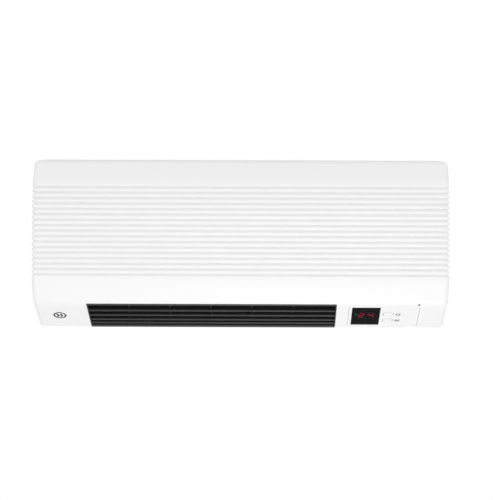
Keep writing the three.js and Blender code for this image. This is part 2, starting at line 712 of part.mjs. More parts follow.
const PANEL_MARGIN = 0.25;
const PANEL_SCREWS = [[187, -18.5], [187, 17]];
const CIRCUIT = { left: 119, right: 191, low: -22, high: 21, back: -14, thickness: 1.6 };
const CIRCUIT_FRONT = CIRCUIT.back + CIRCUIT.thickness;

function outlineInset({ left, right, top, bottom, radius }, inset) {
  return roundedRect([left + inset, right - inset], [bottom + inset, top - inset], radius);
}

function buttonHole(row, margin) {
  const x = [BUTTON.x - BUTTON.width / 2 - margin, BUTTON.x + BUTTON.width / 2 + margin];
  const y = [row - BUTTON.height / 2 - margin, row + BUTTON.height / 2 + margin];
  return roundedRect(x, y, BUTTON.radius);
}

function controlPanel() {
  const plate = prism('z', outlineInset(PANEL, PANEL_MARGIN), [-WALL, 0]);
  const posts = PANEL_SCREWS.map((centre) => cut(
    rod('z', 3, [CIRCUIT_FRONT + GAP, -WALL + 0.5], centre, null, 16),
    rod('z', 1.4, [CIRCUIT_FRONT - 1, -WALL - 1.5], centre, null, 12),
  ));
  const holes = Object.values(BUTTON_ROWS).map((row) => prism('z', buttonHole(row, GAP), [-9, 3]));
  const windowHole = prism('z', outlineInset(WINDOW, -GAP / 2), [-9, 3]);
  return cut(join(plate, posts), holes, windowHole);
}

// Cap, keeper flange and stem of one key.
function button(row) {
  const flange = [-WALL - 0.6 - KEEPER.thickness, -WALL - 0.6];
  return join(
    prism('z', buttonHole(row, 0), [flange[0], BUTTON.proud]),
    prism('z', buttonHole(row, KEEPER.margin), flange),
    rod('z', KEEPER.stem, [-KEEPER.reach, -WALL - 1], [BUTTON.x, row], null, 16),
  );
}

function displayBoard() {
  const plate = box(
    [CIRCUIT.left, CIRCUIT.right],
    [CIRCUIT.low, CIRCUIT.high],
    [CIRCUIT.back, CIRCUIT_FRONT],
  );
  return cut(plate, PANEL_SCREWS.map((centre) => rod('z', 1.4, [-20, 0], centre, null, 12)));
}

function tactSwitch(row) {
  return join(
    box([BUTTON.x - 3, BUTTON.x + 3], [row - 3, row + 3], [CIRCUIT_FRONT + GAP, -9]),
    rod('z', 1.6, [-9.1, -KEEPER.reach - BUTTON.travel - GAP], [BUTTON.x, row], null, 12),
  );
}

addPart('control_panel', 'white_shell', controlPanel(), slopeGroup);
const windowPane = prism('z', outlineInset(WINDOW, GAP / 2), [-WALL, -0.2]);
addPart('display_window', 'smoked_window', windowPane, slopeGroup);
addPart('display_board', 'circuit_board', displayBoard(), slopeGroup);
addPart('led_display', 'display_face', box([123, 149], [-12, 12], [CIRCUIT_FRONT + GAP, -3.6]), slopeGroup);
const receiver = box([133, 140], [-18.5, -13], [CIRCUIT_FRONT + GAP, -5]);
addPart('ir_receiver', 'capacitor_black', receiver, slopeGroup);
const pilotLens = rod('z', PILOT.radius, [-6, -0.5], [PILOT.x, PILOT.y], null, 16);
addPart('pilot_lamp', 'pilot_lens', pilotLens, slopeGroup);
Object.entries(BUTTON_ROWS).forEach(([name, row], index) => {
  addPart(name, 'white_trim', button(row), slopeGroup);
  addPart(`tact_switch_${index + 1}`, 'capacitor_black', tactSwitch(row), slopeGroup);
});

PANEL_SCREWS.forEach((centre, index) => {
  const seat = CIRCUIT.back - GAP;
  addPart(`panel_screw_${index + 1}`, 'steel', screw('z', centre, seat, 1, 9, 1.1), slopeGroup);
});

// ---------------------------------------------------------------- main switch and cord gland

const SIDE = WIDTH / 2;
const PIVOT = { x: SIDE - 1, depth: 8 };
const ROCKER_TILT = THREE.MathUtils.degToRad(10);

function rockerHousing() {
  const flangeY = [ROCKER.y - ROCKER.width / 2, ROCKER.y + ROCKER.width / 2];
  const flangeZ = [ROCKER.z - ROCKER.height / 2, ROCKER.z + ROCKER.height / 2];
  const flange = box([SIDE + GAP, SIDE + ROCKER.proud], flangeY, flangeZ);
  const inset = (span, by) => [span[0] + by, span[1] - by];
  const body = box([SIDE - 16, SIDE + 1], inset(flangeY, 1.3), inset(flangeZ, 1.3));
  const well = box([SIDE - 1 - PIVOT.depth, SIDE + 5], inset(flangeY, 2), inset(flangeZ, 2));
  return cut(join(flange, body), well);
}

// Outline in (z, x) about the pivot: two flat faces that meet in a ridge, over a tapered heel.
function rockerPaddle() {
  const half = 7.9;
  const outline = [[-half, 0.6], [0, 2.2], [half, 0.6], [half, -1.4], [2.5, -5], [-2.5, -5], [-half, -1.4]];
  const geometry = new THREE.ExtrudeGeometry(polygon(outline), { depth: 9.6, bevelEnabled: false });
  geometry.translate(0, 0, -4.8);
  geometry.applyMatrix4(AXIS_FRAMES.y);
  geometry.rotateY(ROCKER_TILT);
  geometry.translate(PIVOT.x, ROCKER.y, ROCKER.z);
  return toSolid(geometry);
}

function cordGland() {
  const outside = -HALF_HEIGHT - GAP;
  const inside = -HALF_HEIGHT + WALL + GAP;
  const profile = [
    [GLAND.bore, outside - GLAND.outside],
    [GLAND.flange - 1, outside - GLAND.outside],
    [GLAND.flange, outside],
    [GLAND.neck, outside],
    [GLAND.neck, inside],
    [GLAND.neck + 2, inside],
    [GLAND.neck + 1.5, inside + GLAND.inside],
    [GLAND.bore, inside + GLAND.inside],
    [GLAND.bore, outside - GLAND.outside],
  ];
  const geometry = new THREE.LatheGeometry(profile.map(([r, h]) => new THREE.Vector2(r, h)), 24);
  geometry.rotateX(Math.PI / 2);
  geometry.translate(GLAND.x, GLAND.y, 0);
  return toSolid(geometry);
}

addPart('rocker_housing', 'black_grille', rockerHousing());
addPart('rocker_paddle', 'black_grille', rockerPaddle());
addPart('cord_gland', 'rubber', cordGland());

// ---------------------------------------------------------------- internal wiring

const TAB_END = RIGHT_PLATE[1] + 8 + GAP;
const tabPoint = (y) => new THREE.Vector3(TAB_END, y, 0).applyMatrix4(HEATER_FRAME).toArray();
const [, rearTabY, rearTabZ] = tabPoint(HEATER.pitch);
const [, frontTabY, frontTabZ] = tabPoint(-HEATER.pitch);
const TERMINAL_FACE = BOARD_FRONT - GAP - TERMINAL_HEIGHT - GAP;

addPart('heater_lead_1', 'red_lead', cable([
  [TAB_END, rearTabY, rearTabZ],
  [TAB_END + 12, rearTabY, rearTabZ],
  [150, -46, -58],
  [172, -46, -56],
  [178, -38, -56],
  [178, TERMINAL_FACE, -56],
], 1.5, 24));
addPart('heater_lead_2', 'red_lead', cable([
  [TAB_END, frontTabY, frontTabZ],
  [TAB_END + 10, frontTabY, frontTabZ],
  [150, -68, -46],
  [184, -54, -54],
  [192, -40, -56],
  [192, TERMINAL_FACE, -56],
], 1.5, 26));
addPart('motor_lead', 'grey_lead', cable([
  [MOTOR.right + GAP, -40, 44],
  [154, -39, 44],
  [164, -32, 40],
  [168, -24, 36],
  [168, BOARD_FRONT - GAP, 36],
], 1.5, 20));

export default group;
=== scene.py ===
"""Looks of the wall-mounted fan convector heater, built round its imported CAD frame.

Lengths are millimetres until a mesh is made, and the frame is the CAD's: +Z up, +X to the right seen
from the front, the wall at y = 0 and the front facing -Y.
"""
import json
import math

import bmesh
import bpy
from mathutils import Matrix, Vector


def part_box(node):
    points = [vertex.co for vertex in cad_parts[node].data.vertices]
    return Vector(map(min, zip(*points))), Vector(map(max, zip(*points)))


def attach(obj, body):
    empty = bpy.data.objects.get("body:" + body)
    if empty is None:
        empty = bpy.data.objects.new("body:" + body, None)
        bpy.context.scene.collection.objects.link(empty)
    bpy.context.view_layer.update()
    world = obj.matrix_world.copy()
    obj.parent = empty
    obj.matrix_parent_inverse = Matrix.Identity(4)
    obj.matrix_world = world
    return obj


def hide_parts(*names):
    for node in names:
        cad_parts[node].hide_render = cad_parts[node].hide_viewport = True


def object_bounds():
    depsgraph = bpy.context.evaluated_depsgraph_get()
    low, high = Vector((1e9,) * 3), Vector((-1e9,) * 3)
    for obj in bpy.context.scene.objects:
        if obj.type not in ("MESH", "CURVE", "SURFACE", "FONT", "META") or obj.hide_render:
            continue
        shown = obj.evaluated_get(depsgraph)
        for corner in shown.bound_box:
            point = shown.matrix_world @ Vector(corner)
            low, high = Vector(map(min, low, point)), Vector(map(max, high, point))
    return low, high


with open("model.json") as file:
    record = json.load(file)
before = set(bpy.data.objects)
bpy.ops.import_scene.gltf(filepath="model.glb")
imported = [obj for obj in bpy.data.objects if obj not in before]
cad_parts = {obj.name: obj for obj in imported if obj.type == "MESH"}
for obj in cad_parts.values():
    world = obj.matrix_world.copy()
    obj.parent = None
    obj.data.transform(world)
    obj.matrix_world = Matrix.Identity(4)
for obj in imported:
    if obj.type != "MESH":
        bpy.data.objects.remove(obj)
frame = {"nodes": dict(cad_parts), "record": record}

MM = 0.001
cad_low, cad_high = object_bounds()

NODE_SLOT = {part["node"]: part["material_slot"] for part in frame["record"]["subparts"]}
NODE_BODY = {
    node: body
    for body, nodes in frame["record"]["behaviour"]["bodies"].items()
    for node in nodes
}


def box_mm(node):
    """Lowest and highest corner of a CAD node, in millimetres."""
    low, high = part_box(node)
    return low / MM, high / MM


# ------------------------------------------------------------------ driving dimensions

cover_low, cover_high = box_mm("front_cover")

HALF_WIDTH = cover_high.x
HALF_HEIGHT = cover_high.z
DEPTH = -cover_low.y
WALL = 2.6
PARTING = cover_high.y  # the cover's back edge, where it meets the rear housing
REAR_DEPTH = -PARTING - 0.3  # the rear housing's, with a gap before the cover
END_RADIUS = 5.0
OVERRUN = 14.0  # how far the section runs on past the wall, before it is cut off

GROOVE_COUNT = 17
GROOVE_TOP = 59.7
GROOVE_PITCH = 5.83
GROOVE_DEPTH = 2.2
GROOVE_FLOOR = 0.25  # half the width of a groove's flat floor
GROOVE_LIP = 2.3  # how far the rib above rounds off towards a groove
GROOVE_SHOULDER = 1.9  # how far the rib below rounds off
GROOVE_WRAP = 17.0  # how far a groove runs back along the end face

# Corners of the side section as (y, z, round), from the top at the back round the front.
SLOPE_TOP = Vector((-103.5, -65.2))
SLOPE_BOTTOM = Vector((-57.0, -HALF_HEIGHT))
SECTION = (
    (OVERRUN, HALF_HEIGHT, 0),
    (-58.0, HALF_HEIGHT, 160),
    (-97.5, 88.3, 9),
    (-109.3, 67.0, 50),
    (-DEPTH, 34.0, 150),
    (-DEPTH, -40.0, 45),
    (SLOPE_TOP.x, SLOPE_TOP.y, 18),
    (SLOPE_BOTTOM.x, SLOPE_BOTTOM.y, 6),
    (OVERRUN, -HALF_HEIGHT, 0),
)

INTAKE = {"rows": 6, "bays": 5, "rim": 3.0, "slot": 5.2, "bar": 3.0}
INTAKE_GAP = 0.3
GLAND_HOLE = 5.8
SCREW_HEAD = 1.4
KEYHOLE = {"x": 135.0, "z": 48.0, "mouth": 4.5, "slot": 2.4, "rise": 12.0}
SECTION_TURN = 2.2  # degrees that one strip of a rounded corner turns at most

# In the slanted frame: x along the heater, y up the slanted face, z out of it.
OUTLET = {"x": (-165.5, 103.3), "y": (-29.5, 26.0)}
PANEL = {"x": (116.7, 193.0), "y": (-24.5, 23.0), "round": 4.0}
WINDOW = {"x": (120.3, 150.7), "y": (-21.2, 19.6), "round": 1.0}
WINDOW_GAP = 0.15
KEY_X = 160.0
KEY_ROWS = {"power_button": 4.0, "mode_button": -10.5}
KEY_HALF = (5.2, 4.2)
KEY_ROUND = 3.0
KEY_GAP = 0.5
KEY_TOP = 0.35  # how far a key stands proud
PILOT = (191.6, 25.2)
PILOT_RADIUS = 1.1
PANEL_POSTS = ((187.0, -18.5), (187.0, 17.0))
CIRCUIT_BACK = -14.0
DISPLAY_FACE = -3.6

SLOPE_ANGLE = math.atan2(SLOPE_TOP.y - SLOPE_BOTTOM.y, SLOPE_TOP.x - SLOPE_BOTTOM.x)
SLOPE_MIDDLE = (SLOPE_TOP + SLOPE_BOTTOM) / 2
SLOPE = Matrix.Translation((0, SLOPE_MIDDLE.x, SLOPE_MIDDLE.y)) @ Matrix.Rotation(SLOPE_ANGLE, 4, "X")


# ------------------------------------------------------------------ mesh helpers

def make_object(name, verts, faces, matrix=None):
    """A mesh object from millimetre points, with its faces turned outwards."""
    if matrix is not None:
        verts = [matrix @ Vector(v) for v in verts]
    mesh = bpy.data.meshes.new(name)
    mesh.from_pydata([Vector(v) * MM for v in verts], [], faces)
    work = bmesh.new()
    work.from_mesh(mesh)
    bmesh.ops.remove_doubles(work, verts=work.verts, dist=1e-7)
    bmesh.ops.recalc_face_normals(work, faces=work.faces)
    work.to_mesh(mesh)
    work.free()
    obj = bpy.data.objects.new(name, mesh)
    bpy.context.scene.collection.objects.link(obj)
    return obj


def bake(obj):
    """Applies an object's modifiers to its mesh."""
    graph = bpy.context.evaluated_depsgraph_get()
    mesh = bpy.data.meshes.new_from_object(obj.evaluated_get(graph))
    obj.modifiers.clear()
    obj.data = mesh


def merge(objs, name=None):
    """Joins objects into the first one, as separate shells of one mesh."""
    work = bmesh.new()
    for obj in objs:
        work.from_mesh(obj.data)
    work.to_mesh(objs[0].data)
    work.free()
    for obj in objs[1:]:
        bpy.data.objects.remove(obj)
    if name:
        objs[0].name = name
    return objs[0]


def combine(obj, tools, operation="DIFFERENCE", overlapping=False):
    """Cuts tools from an object, or joins them to it, as one clean solid."""
    tool = merge(tools)
    modifier = obj.modifiers.new("combine", "BOOLEAN")
    modifier.operation = operation
    modifier.solver = "EXACT"
    modifier.use_self = overlapping
    modifier.object = tool
    bake(obj)
    bpy.data.objects.remove(tool)
    return obj


def bevel(obj, width):
    modifier = obj.modifiers.new("bevel", "BEVEL")
    modifier.width = width * MM
    modifier.segments = 2
    modifier.limit_method = "ANGLE"
    modifier.angle_limit = math.radians(35)
    modifier.miter_outer = "MITER_ARC"
    bake(obj)
    return obj


def smooth(obj, angle=32):
    """Smooth shading that keeps real edges crisp and flat faces flat."""
    mesh = obj.data
    mesh.polygons.foreach_set("use_smooth", [True] * len(mesh.polygons))
    mesh.set_sharp_from_angle(angle=math.radians(angle))
    modifier = obj.modifiers.new("weighted", "WEIGHTED_NORMAL")
    modifier.keep_sharp = True
    return obj


def rounded_loop(x, y, radius, z, steps=6):
    """Points of a rounded rectangle at height z, anticlockwise, four times steps + 1 of them."""
    radius = min(radius, (x[1] - x[0]) / 2, (y[1] - y[0]) / 2)
    corners = (
        (x[1] - radius, y[1] - radius, 0),
        (x[0] + radius, y[1] - radius, 90),
        (x[0] + radius, y[0] + radius, 180),
        (x[1] - radius, y[0] + radius, 270),
    )
    points = []
    for cx, cy, first in corners:
        for step in range(steps + 1):
            turn = math.radians(first + 90 * step / steps)
            points.append(Vector((cx + radius * math.cos(turn), cy + radius * math.sin(turn), z)))
    return points


def loft(name, loops, matrix=None):
    """A closed solid through a stack of loops with the same number of points."""
    count = len(loops[0])
    verts = [point for loop in loops for point in loop]
    faces = [list(range(count)), list(range(len(verts) - count, len(verts)))]
    for level in range(len(loops) - 1):
        for index in range(count):
            after = (index + 1) % count
            low = level * count
            high = low + count
            faces.append([low + index, low + after, high + after, high + index])
    return make_object(name, verts, faces, matrix)


def slab(name, x, y, radius, levels, matrix=None, steps=6):
    """A rounded plate: each level is (height, how far its outline lies inside x and y)."""
    loops = []
    for z, inset in levels:
        span_x = (x[0] + inset, x[1] - inset)
        span_y = (y[0] + inset, y[1] - inset)
        loops.append(rounded_loop(span_x, span_y, max(radius - inset, 0.02), z, steps))
    return loft(name, loops, matrix)


def edge_levels(bottom, top, fillet, bottom_fillet=0.0):
    """Levels of a plate whose top edge, and perhaps bottom edge, is rounded."""
    levels = []
    if bottom_fillet:
        for turn in (90, 60, 30):
            a = math.radians(turn)
            levels.append((bottom + bottom_fillet * (1 - math.sin(a)), bottom_fillet * (1 - math.cos(a))))
        levels.append((bottom + bottom_fillet, 0))
    else:
        levels.append((bottom, 0))
    for turn in (0, 30, 60, 90):
        a = math.radians(turn)
        levels.append((top - fillet * (1 - math.sin(a)), fillet * (1 - math.cos(a))))
    return levels


def flared_cutter(x, y, radius, flare, deep=-14.0, matrix=SLOPE):
    """Cuts an opening whose outer edge is rounded by flare."""
    levels = [(deep, 0.0)]
    for share in (1.0, 0.6, 0.3, 0.1, 0.0):
        inside = 1 - share
        levels.append((-flare * share, -flare * (1 - math.sqrt(1 - inside * inside))))
    levels.append((6.0, -flare))
    return slab("cutter", x, y, radius, levels, matrix)


def block(name, x, y, z, matrix=None):
    return slab(name, x, y, 0.02, [(z[0], 0), (z[1], 0)], matrix, steps=1)


def lathe(name, profile, matrix=None, sides=48):
    """A solid turned about the local z axis from (radius, height) points."""
    loops = []
    for radius, height in profile:
        turns = [2 * math.pi * index / sides for index in range(sides)]
        loops.append([Vector((radius * math.cos(a), radius * math.sin(a), height)) for a in turns])
    return loft(name, loops, matrix)


def ring_lathe(name, profile, matrix=None, sides=48):
    """A ring turned about the local z axis from a closed (radius, height) outline."""
    count = len(profile)
    verts = []
    for side in range(sides):
        a = 2 * math.pi * side / sides
        verts += [Vector((r * math.cos(a), r * math.sin(a), h)) for r, h in profile]
    faces = []
    for side in range(sides):
        here = side * count
        there = ((side + 1) % sides) * count
        for index in range(count):
            after = (index + 1) % count
            faces.append([here + index, here + after, there + after, there + index])
    return make_object(name, verts, faces, matrix)


def stroke(name, paths, width, z, matrix=None):
    """Printed lines: each path is (points, closed), drawn as a thin raised strip."""
    parts = []
    for points, closed in paths:
        count = len(points)
        left, right = [], []
        for index, point in enumerate(points):
            before = points[index - 1] if index or closed else point
            after = points[(index + 1) % count] if index < count - 1 or closed else point
            along = (Vector(after) - Vector(before)).normalized()
            side = Vector((-along.y, along.x)) * width / 2
            left.append(Vector(point) + side)
            right.append(Vector(point) - side)
        verts = []
        for level in z:
            verts += [(p.x, p.y, level) for p in left] + [(p.x, p.y, level) for p in right]
        faces = []
        high = 2 * count
        for index in range(count if closed else count - 1):
            a, b = index, (index + 1) % count
            c, d = count + b, count + a
            faces += [[a, b, c, d], [high + a, high + b, high + c, high + d]]
            faces += [[a, b, high + b, high + a], [d, c, high + c, high + d]]
        if not closed:
            for a in (0, count - 1):
                faces.append([a, count + a, high + count + a, high + a])
        parts.append(make_object(name, verts, faces, matrix))
    return merge(parts, name)


def arc(centre, radius, start, end, steps=24):
    """Points of an arc, in degrees; a full turn leaves out its repeated last point."""
    full = abs(end - start) == 360
    count = steps if full else steps + 1
    turns = [math.radians(start + (end - start) * index / steps) for index in range(count)]
    return [(centre[0] + radius * math.cos(a), centre[1] + radius * math.sin(a)) for a in turns]


def stand_for(piece, node):
    """Shows a piece in place of a CAD node, on its body, and hides the node."""
    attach(piece, NODE_BODY[node])
    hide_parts(node)
    return piece


def add_to(piece, body):
    """Adds a piece that no CAD node stands for."""
    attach(piece, body)
    return piece


def dress(piece, finish):
    piece.data.materials.clear()
    piece.data.materials.append(finish)
    return piece


# ------------------------------------------------------------------ materials

def new_finish(name, colour, roughness, metallic=0.0):
    finish = bpy.data.materials.new(name)
    finish.use_nodes = True
    shader = finish.node_tree.nodes["Principled BSDF"]
    shader.inputs["Base Color"].default_value = (*colour, 1)
    shader.inputs["Roughness"].default_value = roughness
    shader.inputs["Metallic"].default_value = metallic
    finish.diffuse_color = (*colour, 1)
    return finish, finish.node_tree, shader


def place_noise(tree, feature, detail=2.0, stretch=(1, 1, 1)):
    """Noise whose features are `feature` millimetres across, fixed to the object."""
    coords = tree.nodes.new("ShaderNodeTexCoord")
    mapping = tree.nodes.new("ShaderNodeMapping")
    noise = tree.nodes.new("ShaderNodeTexNoise")
    mapping.inputs["Scale"].default_value = stretch
    noise.inputs["Scale"].default_value = 1 / (feature * MM)
    noise.inputs["Detail"].default_value = detail
    tree.links.new(coords.outputs["Object"], mapping.inputs["Vector"])
    tree.links.new(mapping.outputs["Vector"], noise.inputs["Vector"])
    return noise.outputs["Fac"]


def vary(tree, factor, low, high):
    """Maps a 0 to 1 factor to a range of values."""
    scale = tree.nodes.new("ShaderNodeMapRange")
    scale.inputs["From Min"].default_value = 0.3
    scale.inputs["From Max"].default_value = 0.7
    scale.inputs["To Min"].default_value = low
    scale.inputs["To Max"].default_value = high
    tree.links.new(factor, scale.inputs["Value"])
    return scale.outputs["Result"]


def tint(tree, factor, dark, light):
    mix = tree.nodes.new("ShaderNodeMix")
    mix.data_type = "RGBA"
    mix.inputs["A"].default_value = (*dark, 1)
    mix.inputs["B"].default_value = (*light, 1)
    tree.links.new(factor, mix.inputs["Factor"])
    return mix.outputs["Result"]


def emboss(tree, shader, height, depth):
    """Bump of `depth` millimetres from a height factor."""
    bump = tree.nodes.new("ShaderNodeBump")
    bump.inputs["Strength"].default_value = 1.0
    bump.inputs["Distance"].default_value = depth * MM
    tree.links.new(height, bump.inputs["Height"])
    tree.links.new(bump.outputs["Normal"], shader.inputs["Normal"])


def shade(colour, amount):
    return tuple(min(1.0, channel * amount) for channel in colour)


def moulded(name, colour, roughness, grain=0.35, relief=0.012, mottle=0.03, coat=0.0):
    """Moulded plastic: a fine spark-eroded grain, and slow changes in gloss and tone."""
    finish, tree, shader = new_finish(name, colour, roughness)
    slow = place_noise(tree, 28, 3)
    fine = place_noise(tree, grain, 2)
    tone = tint(tree, slow, shade(colour, 1 - mottle), shade(colour, 1 + mottle))
    tree.links.new(tone, shader.inputs["Base Color"])
    gloss = vary(tree, place_noise(tree, 9, 4), roughness - 0.05, roughness + 0.06)
    tree.links.new(gloss, shader.inputs["Roughness"])
    emboss(tree, shader, fine, relief)
    shader.inputs["Coat Weight"].default_value = coat
    shader.inputs["Coat Roughness"].default_value = 0.2
    return finish


def metal(name, colour, roughness, stretch=(1, 1, 1), grain=0.5, relief=0.006):
    """Worked metal: grain drawn out along one axis, with dull and bright patches."""
    finish, tree, shader = new_finish(name, colour, roughness, 1.0)
    streaks = place_noise(tree, grain, 3, stretch)
    patches = place_noise(tree, 6, 3)
    tree.links.new(tint(tree, patches, shade(colour, 0.8), shade(colour, 1.12)), shader.inputs["Base Color"])
    tree.links.new(vary(tree, streaks, roughness - 0.1, roughness + 0.14), shader.inputs["Roughness"])
    emboss(tree, shader, streaks, relief)
    return finish


def glowing(name, colour, strength):
    finish, tree, shader = new_finish(name, shade(colour, 0.2), 0.4)
    shader.inputs["Emission Color"].default_value = (*colour, 1)
    cells = place_noise(tree, 1.2, 1)
    tree.links.new(vary(tree, cells, strength * 0.8, strength * 1.15), shader.inputs["Emission Strength"])
    return finish


def smoked(name):
    """Smoked window: dark see-through plastic with a polished front and faint handling haze."""
    finish, tree, shader = new_finish(name, (0.006, 0.006, 0.007), 0.1)
    haze = place_noise(tree, 5, 4)
    tree.links.new(vary(tree, haze, 0.1, 0.2), shader.inputs["Roughness"])
    shader.inputs["IOR"].default_value = 1.12
    shader.inputs["Specular IOR Level"].default_value = 0.3
    shader.inputs["Alpha"].default_value = 0.7
    return finish


def circuit(name):
    """Green solder mask with raised copper tracks."""
    finish, tree, shader = new_finish(name, (0.015, 0.1, 0.035), 0.4)
    coords = tree.nodes.new("ShaderNodeTexCoord")
    tracks = tree.nodes.new("ShaderNodeTexVoronoi")
    tracks.distance = "CHEBYCHEV"
    tracks.feature = "DISTANCE_TO_EDGE"
    tracks.inputs["Scale"].default_value = 260
    tree.links.new(coords.outputs["Object"], tracks.inputs["Vector"])
    line = tree.nodes.new("ShaderNodeMapRange")
    line.inputs["From Max"].default_value = 0.12
    tree.links.new(tracks.outputs["Distance"], line.inputs["Value"])
    tone = tint(tree, line.outputs["Result"], (0.03, 0.2, 0.06), (0.012, 0.085, 0.03))
    tree.links.new(tone, shader.inputs["Base Color"])
    emboss(tree, shader, line.outputs["Result"], 0.05)
    return finish


# Finish: (colour, roughness, other arguments of its maker).
MOULDED = {
    "white_shell": ((0.86, 0.86, 0.858), 0.42, dict(mottle=0.006)),
    "white_trim": ((0.85, 0.85, 0.848), 0.46, dict(mottle=0.008)),
    "black_grille": ((0.017, 0.017, 0.018), 0.32, dict(grain=0.5, relief=0.015, mottle=0.15)),
    "impeller_plastic": ((0.03, 0.03, 0.031), 0.5, dict(grain=0.8, mottle=0.15)),
    "switch_plastic": ((0.012, 0.012, 0.013), 0.3, dict(grain=0.3, mottle=0.1)),
    "grey_plastic": ((0.27, 0.29, 0.3), 0.52, dict(mottle=0.06)),
    "duct_plastic": ((0.57, 0.58, 0.56), 0.55, dict(mottle=0.04)),
    "phenolic": ((0.032, 0.024, 0.02), 0.6, dict(grain=1.2, relief=0.05, mottle=0.3)),
    "display_face": ((0.008, 0.008, 0.008), 0.5, dict(mottle=0.1)),
    "relay_blue": ((0.02, 0.08, 0.36), 0.35, dict(mottle=0.08)),
    "component_black": ((0.014, 0.014, 0.016), 0.4, dict(mottle=0.15)),
    "coil_core": ((0.62, 0.44, 0.07), 0.5, dict(grain=2.5, relief=0.08, mottle=0.12)),
    "terminal_green": ((0.05, 0.25, 0.07), 0.45, dict(mottle=0.08)),
    "black_rubber": ((0.014, 0.014, 0.014), 0.75, dict(grain=0.9, relief=0.03, mottle=0.2)),
    "red_lead": ((0.38, 0.02, 0.015), 0.5, dict(grain=1.5, relief=0.02, mottle=0.1)),
    "grey_lead": ((0.16, 0.17, 0.18), 0.5, dict(grain=1.5, relief=0.02, mottle=0.1)),
    "filter_net": ((0.1, 0.11, 0.12), 0.8, dict(grain=0.4, relief=0.03, mottle=0.2)),
    "pilot_lens": ((0.05, 0.055, 0.06), 0.16, dict(relief=0.001, mottle=0.1, coat=0.5)),
    "ink": ((0.014, 0.014, 0.015), 0.5, dict(relief=0.004, mottle=0.1)),
    "led_off": ((0.1, 0.1, 0.105), 0.5, dict(mottle=0.2)),
}
METAL = {
    "heater_aluminium": ((0.66, 0.67, 0.68), 0.34, dict(stretch=(1, 1, 0.1))),
    "motor_steel": ((0.45, 0.46, 0.47), 0.38, dict(stretch=(0.08, 1, 1))),
    "steel": ((0.52, 0.53, 0.54), 0.32, dict(stretch=(1, 1, 0.2))),
    "bronze": ((0.45, 0.24, 0.08), 0.42, dict(grain=0.25, relief=0.02)),
}
FINISH = {name: moulded(name, colour, rough, **more) for name, (colour, rough, more) in MOULDED.items()}
FINISH |= {name: metal(name, colour, rough, **more) for name, (colour, rough, more) in METAL.items()}
FINISH["smoked_window"] = smoked("smoked_window")
FINISH["circuit_board"] = circuit("circuit_board")
FINISH["led_red"] = glowing("led_red", (1.0, 0.01, 0.09), 3.2)
FINISH["led_green"] = glowing("led_green", (0.02, 0.8, 0.3), 2.2)


# ------------------------------------------------------------------ body section

def section_corners(inset):
    """The section's corners moved inwards by inset, each with the directions of its two sides."""
    count = len(SECTION)
    starts, alongs = [], []
    for index, (y, z, _) in enumerate(SECTION):
        next_y, next_z, _ = SECTION[(index + 1) % count]
        along = Vector((next_y - y, next_z - z)).normalized()
        starts.append(Vector((y, z)) + Vector((-along.y, along.x)) * inset)
        alongs.append(along)
    corners = []
    for index, (_, _, radius) in enumerate(SECTION):
        before, after = alongs[index - 1], alongs[index]
        step = starts[index] - starts[index - 1]
        reach = step.cross(after) / before.cross(after)
        corners.append((starts[index - 1] + before * reach, before, after, max(radius - inset, 0.5)))
    return corners


def section_path(inset, back):
    """(point, outward normal) pairs along the skin, from the top at y = back round to the bottom."""
    corners = section_corners(inset)
    path = [(Vector((back, corners[0][0].y)), Vector((0, 1)))]
    for point, before, after, radius in corners[1:-1]:
        turn = before.angle(after)
        start = point - before * radius * math.tan(turn / 2)
        centre = start + Vector((-before.y, before.x)) * radius
        steps = max(5, math.ceil(math.degrees(turn) / SECTION_TURN))
        first = math.atan2(start.y - centre.y, start.x - centre.x)
        for step in range(steps + 1):
            a = first + turn * step / steps
            normal = Vector((math.cos(a), math.sin(a)))
            path.append((centre + normal * radius, normal))
    path.append((Vector((back, corners[-1][0].y)), Vector((0, -1))))
    return path


def on_front(path, z):
    """The point and normal of the front at a height."""
    for (low, low_normal), (high, high_normal) in zip(path, path[1:]):
        if low.x < -70 and low.y >= z >= high.y and low.y > high.y:
            share = (low.y - z) / (low.y - high.y)
            return low.lerp(high, share), low_normal.lerp(high_normal, share).normalized()
    raise ValueError(f"the front has no height {z}")


def groove_rows(path):
    """(point, normal, groove depth) at every height that shapes the ribs, from the top down."""
    rows = []
    for index in range(GROOVE_COUNT):
        z = GROOVE_TOP - index * GROOVE_PITCH
        for share in (1.0, 0.82, 0.64, 0.48, 0.34, 0.2, 0.08, 0.0):
            rows.append((z + GROOVE_FLOOR + GROOVE_LIP * share, GROOVE_DEPTH * (1 - share) ** 1.9))
        for share in (0.0, 0.1, 0.24, 0.4, 0.58, 0.78, 1.0):
            rows.append((z - GROOVE_FLOOR - GROOVE_SHOULDER * share, GROOVE_DEPTH * (1 - share) ** 1.8))
    return [(*on_front(path, z), depth) for z, depth in rows]


def wrap_share(z):
    """1 beside the grooves, falling to 0 just above and below them."""
    top = GROOVE_TOP + GROOVE_LIP
    bottom = GROOVE_TOP - (GROOVE_COUNT - 1) * GROOVE_PITCH - GROOVE_SHOULDER
    outside = max(z - top, bottom - z, 0.0)
    return max(0.0, 1 - outside / 5)


